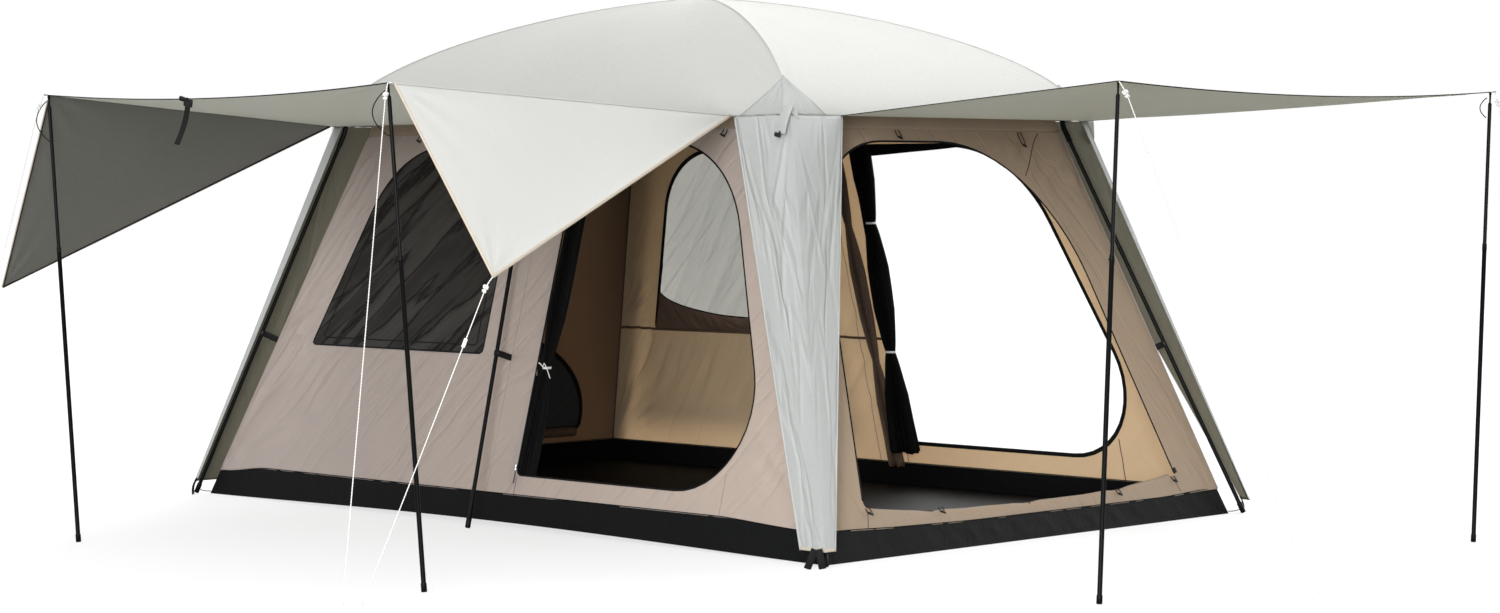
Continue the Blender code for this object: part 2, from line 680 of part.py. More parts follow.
def wing(name, eave_end, pole_end, tip, outwards):
    """A triangular side wing that hangs from the awning's side edge to its tip."""
    along = (pole_end - eave_end).normalized()
    first = eave_end + outwards * (CLOTH + SEAT) + along * WING_CUT
    second = pole_end + outwards * (CLOTH + SEAT) - along * WING_CUT

    def shape(u, v):
        edge = first.lerp(second, u)
        belly = WING_BELLY * sin(pi * v) * sin(pi * u)
        return edge.lerp(tip, v) - outwards * belly

    cloth(name, 10, 8, shape, CLOTH, "fly")


def make_fly():
    """Roof dome, corner flaps, awnings with wings and the rear panel."""
    cloth("fly_roof", 40, FLY_RINGS,
          lambda u, v: dome(u, v, FLY_EAVE_X, FLY_EAVE_Y, FLY_EAVE_Z, FLY_CROWN_Z - CLOTH / 2),
          CLOTH, "fly")
    make_flaps()
    for name in AWNINGS:
        cloth(name, *AWNING_CELLS, partial(awning_point, name), CLOTH, "fly")
    left, right = AWNINGS["awning_front"][:2]
    wing("awning_wing_left", left, FRONT_CORNER_LEFT, WING_TIP_LEFT, Vector((-1, 0, 0)))
    wing("awning_wing_right", right, FRONT_CORNER_RIGHT, WING_TIP_RIGHT, Vector((1, 0, 0)))
    top_in = Vector((REAR_PANEL_IN_X, OUT_Y, FLY_EAVE_Z))
    top_out = Vector((-FLY_EAVE_X + FLAP_TOP_FRONT + REAR_PANEL_CLEAR, OUT_Y, FLY_EAVE_Z))
    foot_y = HALF_W + REAR_PANEL_FOOT_OUT
    foot_in = Vector((REAR_PANEL_IN_X, foot_y, REAR_PANEL_FOOT_Z))
    foot_out = Vector((REAR_PANEL_FOOT_IN - HALF_L, foot_y, REAR_PANEL_FOOT_Z))

    def rear(u, v):
        fold = REAR_FOLD * sin(3 * pi * u) * v
        return top_in.lerp(top_out, u).lerp(foot_in.lerp(foot_out, u), v) + Vector((0, fold, 0))

    cloth("rear_fly_panel", 12, 6, rear, CLOTH, "fly")


# Awning poles

POLES = {
    "front_left": ("awning_front", 0, FRONT_LEFT_FOOT),
    "front_right": ("awning_front", 1, FRONT_RIGHT_FOOT),
    "side_near": ("awning_side", 0, SIDE_NEAR_FOOT),
    "side_far": ("awning_side", 1, SIDE_FAR_FOOT),
}


def grommet(name):
    """The point of an awning over a pole's ball, on the flat cell at the awning's corner."""
    sheet, end, _ = POLES[name]
    u_in = end + (1 - 2 * end) / AWNING_CELLS[0]
    v_in = 1 - 1 / AWNING_CELLS[1]
    corner = awning_point(sheet, end, 1)
    beside = awning_point(sheet, u_in, 1) - corner
    behind = awning_point(sheet, end, v_in) - corner
    return corner + (beside.normalized() + behind.normalized()) * GROMMET_INSET


def pole_axis(name):
    """Ball centre under the awning's corner, unit direction down the pole, and its length."""
    foot = POLES[name][2]
    top = grommet(name) - Vector((0, 0, CLOTH / 2 + SEAT + BALL_RADIUS))
    down = (foot - top).normalized()
    return top, down, (foot - top).length - foot_lift(down, POLE_FOOT_RADIUS)


def make_awning_poles():
    """Each pole: upper tube with a ball spike, and a lower tube with a bore and a rubber foot."""
    for name in POLES:
        top, down, length = pole_axis(name)
        matrix = frame_along(top, -down, Vector((1, 0, 0)))
        ball = [(BALL_RADIUS * sin(pi * k / 8), BALL_RADIUS * cos(pi * k / 8)) for k in range(7)]
        upper_end = -(length - LOWER_LENGTH + SOCKET_OVERLAP)
        profile = [(0.0, BALL_RADIUS)] + ball[1:]
        profile += [(SPIKE_RADIUS, -SPIKE_LENGTH), (UPPER_RADIUS, -SPIKE_LENGTH - SHOULDER),
                    (UPPER_RADIUS, upper_end), (0.0, upper_end)]
        turned("awning_pole_upper_" + name, profile, "pole", matrix)
        footed_tube("awning_pole_lower_" + name, matrix, -(length - LOWER_LENGTH), length, LOWER_BORE,
                    LOWER_RADIUS, POLE_FOOT_RADIUS, POLE_FOOT_LENGTH)


# Ropes and their runner

def rope_start(name):
    """Upper end of each rope: at an awning's corner, or just under a wing's tip."""
    key = name.replace("guy_rope_", "")
    end = ROPE_ENDS[name]
    if key in POLES:
        sheet, side, _ = POLES[key]
        corner = awning_point(sheet, side, 1)
        out = Vector((end.x - corner.x, end.y - corner.y, 0)).normalized()
        return corner + out * (ROPE_RADIUS + SEAT)
    tip = WING_TIP_LEFT if key.endswith("left") else WING_TIP_RIGHT
    return tip + (end - tip).normalized() * (CLOTH / 2 + SEAT)


def rope_point(name, share):
    """A point of a taut rope, which sags a little."""
    start = rope_start(name)
    end = ROPE_ENDS[name] + Vector((0, 0, 2 * ROPE_RADIUS))
    out = Vector((end.x - start.x, end.y - start.y, 0)).normalized()
    loop = ROPE_LOOP * (1 - (1 - min(1.0, share / ROPE_LOOP_SHARE)) ** 2) * (1 - share)
    return start.lerp(end, share) + out * loop - Vector((0, 0, ROPE_SAG * 4 * share * (1 - share)))


def make_ropes():
    """Six taut guy ropes, and the runner on the right wing's rope."""
    for name in ROPE_ENDS:
        points = [rope_point(name, (k / (ROPE_POINTS - 1)) ** ROPE_BUNCH) for k in range(ROPE_POINTS)]
        tube(name, points, ROPE_RADIUS, "rope", sides=2)
    carrier = "guy_rope_wing_right"
    middle = rope_point(carrier, RUNNER_SHARE)
    direction = rope_point(carrier, RUNNER_SHARE + RUNNER_REACH) - rope_point(
        carrier, RUNNER_SHARE - RUNNER_REACH)
    matrix = frame_along(middle, direction, Vector((1, 0, 0)))
    bore = ROPE_RADIUS + RUNNER_CLEAR
    half = RUNNER_LENGTH / 2
    profile = [(bore, half), (RUNNER_RADIUS, half), (RUNNER_RADIUS, -half), (bore, -half)]
    turned("rope_runner", profile, "plastic", matrix, closed=True, steps=12)


# Door cloth and zips

def pleated(name, centre, radius, pleats, finish):
    """A closed bundle with pleats around it: centre(share) and radius(share) run down its length."""
    rings = 20
    mesh = bpy.data.meshes.new(name)
    made = bmesh.new()
    bmesh.ops.create_uvsphere(made, u_segments=4 * pleats, v_segments=rings, radius=1.0)
    for vert in made.verts:
        step = acos(max(-1.0, min(1.0, vert.co.z))) / pi * rings
        share = max(0.0, min(1.0, (step - 1) / (rings - 2)))
        angle = atan2(vert.co.y, vert.co.x)
        lobe = 1 - PLEAT_DEPTH * (1 - cos(pleats * (angle - pi / 2) + PLEAT_TWIST * share)) / 2
        reach = radius(share) * lobe if 0.5 < step < rings - 0.5 else 0.0
        vert.co = centre(share) + Vector((reach * cos(angle), reach * sin(angle), 0))
    made.to_mesh(mesh)
    made.free()
    mesh.shade_smooth()
    return place(name, mesh, finish)


def bundle(name, side, x_top, x_foot, foot_z, radius, finish):
    """Door cloth gathered into pleats and tied twice, hanging just inside its wall."""
    matrix = wall_frame(side)
    stretch = slope(side)
    lean = SIDES[side][4] / INNER_EAVE_Z
    depth = CLOTH / 2 + SEAT + radius / sqrt(1 + lean ** 2)

    def centre(share):
        across = x_top + (x_foot - x_top) * share
        up = (BUNDLE_TOP_Z + (foot_z - BUNDLE_TOP_Z) * share) * stretch
        return matrix @ Vector((across, up, -depth))

    def girth(share):
        near_tie = min(abs(share - tie) for tie in BUNDLE_TIES)
        return radius * (TIE_WAIST + (1 - TIE_WAIST) * min(1.0, near_tie / TIE_SPREAD) ** TIE_BULGE)

    pleated(name, centre, girth, BUNDLE_PLEATS, finish)


def zip_slider(name, side, across, height, turn=0.0):
    """A zip's slider on the outer face of its wall."""
    lift = CLOTH / 2 + SEAT + ZIP_BODY.z / 2
    local = Matrix.Translation((across, height * slope(side), lift)) @ Matrix.Rotation(turn, 4, "Z")
    block(name, ZIP_BODY, "plastic", wall_frame(side) @ local, bevel=0.001)


def end_door_turn():
    """Angle of the end door's slanted side in its wall's plane."""
    return atan2(END_DOOR_SLANT, slope("door_end"))


def make_doors():
    """Gathered door panels, the rolled end door, the rolled vent cover and two zip sliders."""
    for name, sizes in CURTAINS.items():
        bundle(name, *sizes)
    roll("end_door_rolled_panel", "door_end", END_DOOR_FOOT_Y - DOOR_ROLL_SHORT, END_DOOR_SILL_Z, "wall")
    roll("vent_rolled_cover", "sleep_end", VENT_HALF_WIDTH - VENT_ROLL_SHORT, VENT_SILL_Z, "wall")
    zip_slider("zip_slider_front_door", "front", DOOR_STRAIGHT_X - ZIP_OUT, DOOR_SILL_Z + ZIP_RAISE)
    across = END_DOOR_FOOT_Y + ZIP_OUT - END_DOOR_SLANT * ZIP_RAISE
    zip_slider("zip_slider_end_door", "door_end", across, END_DOOR_SILL_Z + ZIP_RAISE, end_door_turn())


def roll(name, side, half, sill_z, finish):
    """A panel rolled down along the inside of its sill and drawn in by its ties."""
    matrix = wall_frame(side)
    up = sill_z * slope(side) - SILL_ROLL_RADIUS * SILL_ROLL_DROP
    centre = matrix @ Vector((0, up, -(CLOTH / 2 + SEAT + SILL_ROLL_RADIUS)))
    turn = matrix.to_3x3()
    profile = [(0.0, half)]
    for k in range(ROLL_STEPS + 1):
        radius = SILL_ROLL_RADIUS * (ROLL_TIE if k % 3 == 2 else 1.0)
        profile.append((radius, half - 2 * half * k / ROLL_STEPS))
    profile.append((0.0, -half))
    turned(name, profile, finish, frame_along(centre, turn.col[0], turn.col[2]))


make_tub()
make_inner()
make_frame()
make_fly()
make_awning_poles()
make_ropes()
make_doors()
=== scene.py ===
"""The cabin tent, dressed for its photograph: cloth, seams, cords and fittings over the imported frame.

Metres, +Z up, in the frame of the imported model: +X runs to the wide door's end and the wall with
the front awning faces -Y. Corners: a = +X -Y, b = -X -Y, c = +X +Y, d = -X +Y.
"""

import bmesh
import bpy
import numpy as np
from mathutils import Matrix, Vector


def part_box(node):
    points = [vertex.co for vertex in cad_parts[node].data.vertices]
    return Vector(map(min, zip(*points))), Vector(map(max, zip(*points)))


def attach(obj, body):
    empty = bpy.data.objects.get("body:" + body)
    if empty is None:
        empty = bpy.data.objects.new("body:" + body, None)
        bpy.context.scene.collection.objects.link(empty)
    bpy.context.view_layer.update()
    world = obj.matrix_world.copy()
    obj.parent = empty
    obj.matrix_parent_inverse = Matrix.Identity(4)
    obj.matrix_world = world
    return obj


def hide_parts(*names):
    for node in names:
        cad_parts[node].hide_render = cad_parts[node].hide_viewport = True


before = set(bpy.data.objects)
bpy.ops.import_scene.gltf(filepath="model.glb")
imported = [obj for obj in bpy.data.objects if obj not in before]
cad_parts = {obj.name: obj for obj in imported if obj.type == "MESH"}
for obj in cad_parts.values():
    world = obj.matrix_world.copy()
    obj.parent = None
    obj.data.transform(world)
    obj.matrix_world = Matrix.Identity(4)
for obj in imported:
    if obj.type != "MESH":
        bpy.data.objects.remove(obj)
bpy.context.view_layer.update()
TAU = 2 * np.pi
CORNERS = {"a": (1, -1), "b": (-1, -1), "c": (1, 1), "d": (-1, 1)}
UP = np.array([0.0, 0.0, 1.0])

# Photograph's camera
PHOTO_WIDTH = 1500
FOCAL_PX = 3055
SENSOR_MM = 36.0
CAMERA_AT = np.array([10.69, -10.35, 1.54])
CAMERA_TURN = np.radians([44.99, 2.23, -0.16])      # yaw, downward pitch, roll
CAMERA_SEES = 200

# Light and floor
SKY_COLOUR, SKY_STRENGTH = (0.97, 0.99, 1.0), 0.70
FLOOR_LIT, FLOOR_SEEN = (0.80, 0.80, 0.78), (0.97, 0.97, 0.97)
FLOOR_GLOW = 0.70
FLOOR_REACH = 60
LAMPS = (           # name, kind, strength, spread in degrees or size, direction, place
    ("key", "SUN", 1.72, 22, (-0.58, 0.78, -0.17), (0, 0, 0)),
    ("top", "SUN", 1.0, 60, (-0.10, 0.20, -1.0), (0, 0, 0)),
    ("back", "SUN", 4.8, 70, (0.15, -0.90, -0.42), (0, 0, 0)),
    ("softbox", "AREA", 140, 1.8, (-0.64, 0.76, 0.02), (5.2, -6.8, 0.85)),
)

# Inner tent
HALF_L, HALF_W = 2.15, 1.375
TUB_HEIGHT = 0.12
TUB_CUT = 0.13              # flat height of the tub's strip
FLOOR_Z = 0.0012
EAVE_X, EAVE_Y, EAVE_Z = 1.44, 0.90, 1.80
INNER_CROWN_Z = 2.34
MIDDLE_SEAM_X = -0.035
CORNER_C_OUT = 0.040        # the legs draw the inner tent's top out at corner c
CORNER_C_SPREAD = 0.10      # how far from the corner that pull dies away
CORNER_C_BEND = 0.85
WALL_CLOTH = 0.0008         # drawn thickness of walls and fly
THIN_CLOTH = 0.0005         # and of gathered or rolled cloth

# Openings
DOOR_TOP_Z = 1.745
DOOR_EDGE_X = 0.15
FRONT_DOOR, BACK_DOOR = (0.238, 1.755, 0.405), (0.226, 1.845, 0.42)     # sill, foot, slant
WINDOW_INNER_X, WINDOW_OUTER_X, WINDOW_SLANT = 0.25, 1.56, 0.405
WINDOW_LOW_Z, WINDOW_TOP_Z = 0.77, 1.74
WINDOW_MIDDLE = (-0.80, 1.15)           # of the front one
END_DOOR_Y, END_SILL_Z, END_SLANT = 1.063, 0.20, 0.21
SILL_SAG = 0.052            # of the wide door's sill under its rolled panel
VENT_HALF, VENT_RISE = 1.05, 0.60
WALL_HEM, WALL_EASE = 0.030, 0.11       # folds begin and are full this far from an opening

# Fly
FLY_X, FLY_Y, FLY_Z = 1.59, 1.00, 1.85
FLY_CROWN_Z = 2.4555
DOME_FLAT, DOME_ROUND = 1.55, 0.58
FLAP_TOP_LONG, FLAP_TOP_END = 0.335, 0.32
FLAP_FOOT_LONG, FLAP_FOOT_END, FLAP_FOOT_C = 0.135, 0.06, 0.048
STORM_TOP, STORM_FOOT = 0.062, 0.016
STORM_C_TOP, STORM_C_FOOT = 0.031, 0.004
FLAP_C_SHIFT, FLAP_OUT = (0.034, 0.046), 0.022      # of the hem from the leg's foot
OUT_X, OUT_Y = FLY_X + 0.0009, FLY_Y + 0.0009
LEFT_TOP = np.array([-0.864, -3.117, 1.950])
RIGHT_TOP = np.array([1.524, -3.117, 1.940])
NEAR_TOP = np.array([3.633, -1.357, 1.931])
FAR_TOP = np.array([3.640, 1.246, 1.943])
LEFT_TIP = np.array([-1.250, -3.101, 1.108])
RIGHT_TIP = np.array([1.970, -2.980, 1.212])
EDGE_SAG, BELLY_SAG = 0.037, 0.030
REAR_INNER_X, REAR_OUTER_X = -0.20, -1.93
REAR_FOOT, REAR_CUT = (1.47, 0.30), (1.73, 1.63)        # y and z; flat width and height

# Frame
ELBOW_Z = 1.815
ELBOW_NEAR, ELBOW_FAR = 0.945, 0.972    # elbows' share of the fly's corners, +X and -X
POLE_RADIUS = 0.0095
LEG_FOOT_RADIUS, AWNING_FOOT_RADIUS = 0.01235, 0.0115
FOOT_OUT = 0.052
MIDDLE_LEG_TOP_X, MIDDLE_LEG_FOOT_X, MIDDLE_LEG_OUT = -0.137, 0.04, 0.135
CLIP_Z = 0.78

# Ropes: upper end, and where each one ends on the ground
ROPE_RADIUS = 0.00225
ROPE_SAG = 0.006
ROPES = {
    "front_left": (LEFT_TOP, (-1.10, -3.55)),
    "front_right": (RIGHT_TOP, (1.765, -3.538)),
    "side_near": (NEAR_TOP, (4.24, -0.96)),
    "side_far": (FAR_TOP, (4.25, 0.846)),
    "wing_left": (LEFT_TIP, (-1.38, -3.52)),
    "wing_right": (RIGHT_TIP, (1.795, -3.475)),
}

# Doors' cloth
CURTAIN_TOP_Z = 1.765
END_DOOR_CUT, VENT_CUT, WINDOW_CUT = (2.13, 1.55), (2.10, 0.65), (1.31, 0.97)
ROLL_DEPTH, ROLL_TIE_RADIUS = 0.0285, 0.0225


def vec(*values):
    """A point or direction as floats."""
    return np.array(values, float)


def unit(v):
    """Each vector at length one."""
    return v / np.linalg.norm(v, axis=-1, keepdims=True)


# Camera, floor and light

def placed(name, data, axes, at):
    """An object linked into the scene, with its own three axes and its place."""
    made = bpy.data.objects.new(name, data)
    turn = Matrix(np.stack(axes, axis=1).tolist()).to_4x4()
    turn.translation = tuple(at)
    made.matrix_world = turn
    bpy.context.scene.collection.objects.link(made)
    return made


def add_camera():
    """Camera at the photograph's place, from its yaw, pitch and roll."""
    yaw, pitch, roll = CAMERA_TURN
    ahead = vec(-np.sin(yaw) * np.cos(pitch), np.cos(yaw) * np.cos(pitch), -np.sin(pitch))
    right = vec(np.cos(yaw), np.sin(yaw), 0)
    above = np.cross(right, ahead)
    right, above = (np.cos(roll) * right + np.sin(roll) * above,
                    np.cos(roll) * above - np.sin(roll) * right)
    data = bpy.data.cameras.new("camera")
    data.sensor_width = SENSOR_MM
    data.lens = FOCAL_PX * SENSOR_MM / PHOTO_WIDTH
    data.clip_end = CAMERA_SEES
    bpy.context.scene.camera = placed("camera", data, (right, above, -ahead), CAMERA_AT)


def add(tree, kind, inputs=None, out=0, **settings):
    """One output of a new node, whose inputs are set to values or joined to sockets.

    Colours of three numbers are opaque."""
    made = tree.nodes.new("ShaderNode" + kind)
    for key, value in settings.items():
        setattr(made, key, value)
    for key, value in (inputs or {}).items():
        socket = made.inputs[key]
        if isinstance(value, bpy.types.NodeSocket):
            tree.links.new(value, socket)
        elif socket.type == "RGBA":
            socket.default_value = (*value, 1)
        else:
            socket.default_value = value
    return made.outputs[out] if made.outputs else made


def mixed(tree, share, colour, other):
    """One colour that runs into another by a share."""
    return add(tree, "Mix", {0: share, 6: colour, 7: other}, 2, data_type="RGBA")


def noise(tree, where, scale, detail, **more):
    """Soft noise."""
    return add(tree, "TexNoise", {"Vector": where, "Scale": scale, "Detail": detail, **more})


def bumped(tree, height, strength, depth, under=None):
    """The normal of a bumped surface, over another bump or none."""
    inputs = {"Height": height, "Strength": strength, "Distance": depth}
    return add(tree, "Bump", inputs if under is None else {**inputs, "Normal": under})


def shaded(tree, tone, rough, gloss, normal, **more):
    """The main shader; more holds its other inputs, with _ for a space."""
    inputs = {"Base Color": tone, "Roughness": rough, "Specular IOR Level": gloss, "Normal": normal}
    return add(tree, "BsdfPrincipled", {**inputs, **{key.replace("_", " "): more[key] for key in more}})


FINISHES = {}


def start_finish(name):
    """The empty node tree of a new material."""
    made = bpy.data.materials.new(name)
    made.use_nodes = True
    made.node_tree.nodes.clear()
    FINISHES[name] = made
    return made.node_tree


def add_stage():
    """Pale floor that the lens sees as white, a white backdrop, and soft light on the object."""
    scene = bpy.context.scene
    scene.view_settings.view_transform = "Standard"
    world = bpy.data.worlds.new("studio")
    scene.world = world
    world.use_nodes = True
    tree = world.node_tree
    tree.nodes.clear()
    path = tree.nodes.new("ShaderNodeLightPath").outputs
    seen = add(tree, "Math", {0: path["Is Camera Ray"], 1: path["Is Glossy Ray"]}, operation="MAXIMUM")
    seen = add(tree, "Math", {0: seen, 1: path["Is Transmission Ray"]}, operation="MAXIMUM")
    sky = add(tree, "Background", {"Color": SKY_COLOUR, "Strength": SKY_STRENGTH})
    white = add(tree, "Background", {"Color": (1, 1, 1), "Strength": 1.0})
    add(tree, "OutputWorld", {"Surface": add(tree, "MixShader", {0: seen, 1: sky, 2: white})})

    tree = start_finish("floor")
    seen = add(tree, "LightPath", out="Is Camera Ray")
    body = add(tree, "BsdfDiffuse", {"Color": mixed(tree, seen, FLOOR_LIT, FLOOR_SEEN)})
    glow = add(tree, "Emission", {"Color": (1, 1, 1), "Strength": seen})
    add(tree, "OutputMaterial", {"Surface": add(tree, "MixShader", {0: FLOOR_GLOW, 1: body, 2: glow})})
    mesh = bpy.data.meshes.new("floor")
    around = ((-1, -1), (1, -1), (1, 1), (-1, 1))
    mesh.from_pydata([(x * FLOOR_REACH, y * FLOOR_REACH, 0) for x, y in around], [], [(0, 1, 2, 3)])
    mesh.materials.append(FINISHES["floor"])
    floor = bpy.data.objects.new("floor", mesh)
    scene.collection.objects.link(floor)

    for name, kind, strength, spread, towards, at in LAMPS:
        lamp = bpy.data.lights.new(name, kind)
        lamp.energy = strength
        if kind == "SUN":
            lamp.angle = np.radians(spread)
        else:
            lamp.size = spread
        back = unit(-vec(*towards))
        side = unit(np.cross(UP, back))
        placed(name, lamp, (side, np.cross(back, side), back), at).visible_camera = False


# Finishes

WAVE_SCALE = 0.314      # of a wave texture with one band in a metre
THREAD_FLY, THREAD_WALL, THREAD_TRIM, THREAD_NET = 0.0014, 0.0012, 0.0010, 0.0016


def threads(tree, where, pitch):
    """Woven threads: the product of two bands across each other, pitch apart."""
    bands = [add(tree, "TexWave", {"Vector": where, "Scale": WAVE_SCALE / pitch}, "Fac", bands_direction=axis)
             for axis in "XY"]
    return add(tree, "Math", {0: bands[0], 1: bands[1]}, operation="MULTIPLY")


def ridges(tree, where, turn, scale, stretch=6.0, width=0.06):
    """Sharp wrinkles along one direction: 0 where a stretched noise passes its middle, 1 away from there."""
    drawn = add(tree, "Mapping", {"Vector": where, "Rotation": (0, 0, turn), "Scale": (1.0, stretch, 1.0)},
                vector_type="TEXTURE")
    folds = noise(tree, drawn, scale, 3.0, Roughness=0.5, Distortion=0.15)
    off = add(tree, "Math", {0: folds, 1: 0.5}, operation="SUBTRACT")
    off = add(tree, "Math", {0: off}, operation="ABSOLUTE")
    return folds, add(tree, "MapRange", {"Value": off, "From Min": 0.0, "From Max": width})


def cloth_finish(name, colour, other, pitch, rough, through=0.0, glow=None, sheen=0.0, crush=0.35, gloss=0.3,
                 wrinkle=None):
    """Woven cloth: slow change between two tones, fine crush, thread bump, and light that comes through.

    wrinkle is its direction and its depth in metres."""
    tree = start_finish(name)
    place, weave = (add(tree, "TexCoord", out=key) for key in ("Object", "UV"))
    tone = mixed(tree, noise(tree, place, 1.7, 4.0, Roughness=0.6), colour, other)
    normal = bumped(tree, noise(tree, place, 21.0, 5.0, Distortion=1.1), crush, 0.006)
    if wrinkle:
        turn, depth = wrinkle
        normal = bumped(tree, ridges(tree, weave, turn, 6.0)[1], 0.6, depth, normal)
    normal = bumped(tree, threads(tree, weave, pitch), 0.35, 0.0004, normal)
    body = shaded(tree, tone, rough, gloss, normal, Sheen_Weight=sheen, Sheen_Roughness=0.5)
    if through:
        lit = add(tree, "BsdfTranslucent", {"Color": glow or colour, "Normal": normal})
        body = add(tree, "MixShader", {0: through, 1: body, 2: lit})
    add(tree, "OutputMaterial", {"Surface": body})


def net_finish(name, colour, other, crease_shade_colour, cover, creases=0.0):
    """Insect net: near black threads that cover a share of what lies behind, with painted shade: dark lines
    along its wrinkles, and a tone that turns paler across each fold as painted light."""
    tree = start_finish(name)
    where = add(tree, "TexCoord", out="UV")
    folds, line = ridges(tree, where, creases, 9.0, 9.0, 0.045)
    spread = add(tree, "MapRange", {"Value": folds, "From Min": 0.36, "From Max": 0.64})
    # painted shade and light: the tone follows the folds that bump the net, dark on their crease lines and
    # paler on their rises
    tone = mixed(tree, line, crease_shade_colour, mixed(tree, spread, colour, other))
    normal = bumped(tree, threads(tree, where, THREAD_NET), 0.5, 0.0006, bumped(tree, folds, 0.6, 0.02))
    add(tree, "OutputMaterial", {"Surface": shaded(tree, tone, 0.85, 0.15, normal, Alpha=cover)})


def hard_finish(name, colour, rough, metal=0.0, shine=0.5):
    """Painted metal or moulded plastic: an even tone with a fine grain in its gloss and surface."""
    tree = start_finish(name)
    place = add(tree, "TexCoord", out="Object")
    fine = noise(tree, place, 120.0, 3.0)
    tone = mixed(tree, noise(tree, place, 9.0, 2.0), colour, [1.5 * c for c in colour])
    gloss = add(tree, "MapRange", {"Value": fine, "To Min": rough - 0.12, "To Max": rough + 0.12})
    body = shaded(tree, tone, gloss, shine, bumped(tree, fine, 0.3, 0.0002), Metallic=metal)
    add(tree, "OutputMaterial", {"Surface": body})


def band_finish(name, colour, groove_shade, pitch):
    """Webbing or twisted cord: ribs pitch apart along the piece, with painted shade in their grooves."""
    tree = start_finish(name)
    ribs = add(tree, "TexWave", {"Vector": add(tree, "TexCoord", out="UV"), "Scale": WAVE_SCALE / pitch,
                                 "Distortion": 0.6, "Detail": 1.0}, "Fac", bands_direction="Y")
    body = shaded(tree, mixed(tree, ribs, groove_shade, colour), 0.8, 0.2, bumped(tree, ribs, 0.6, 0.0005))
    add(tree, "OutputMaterial", {"Surface": body})


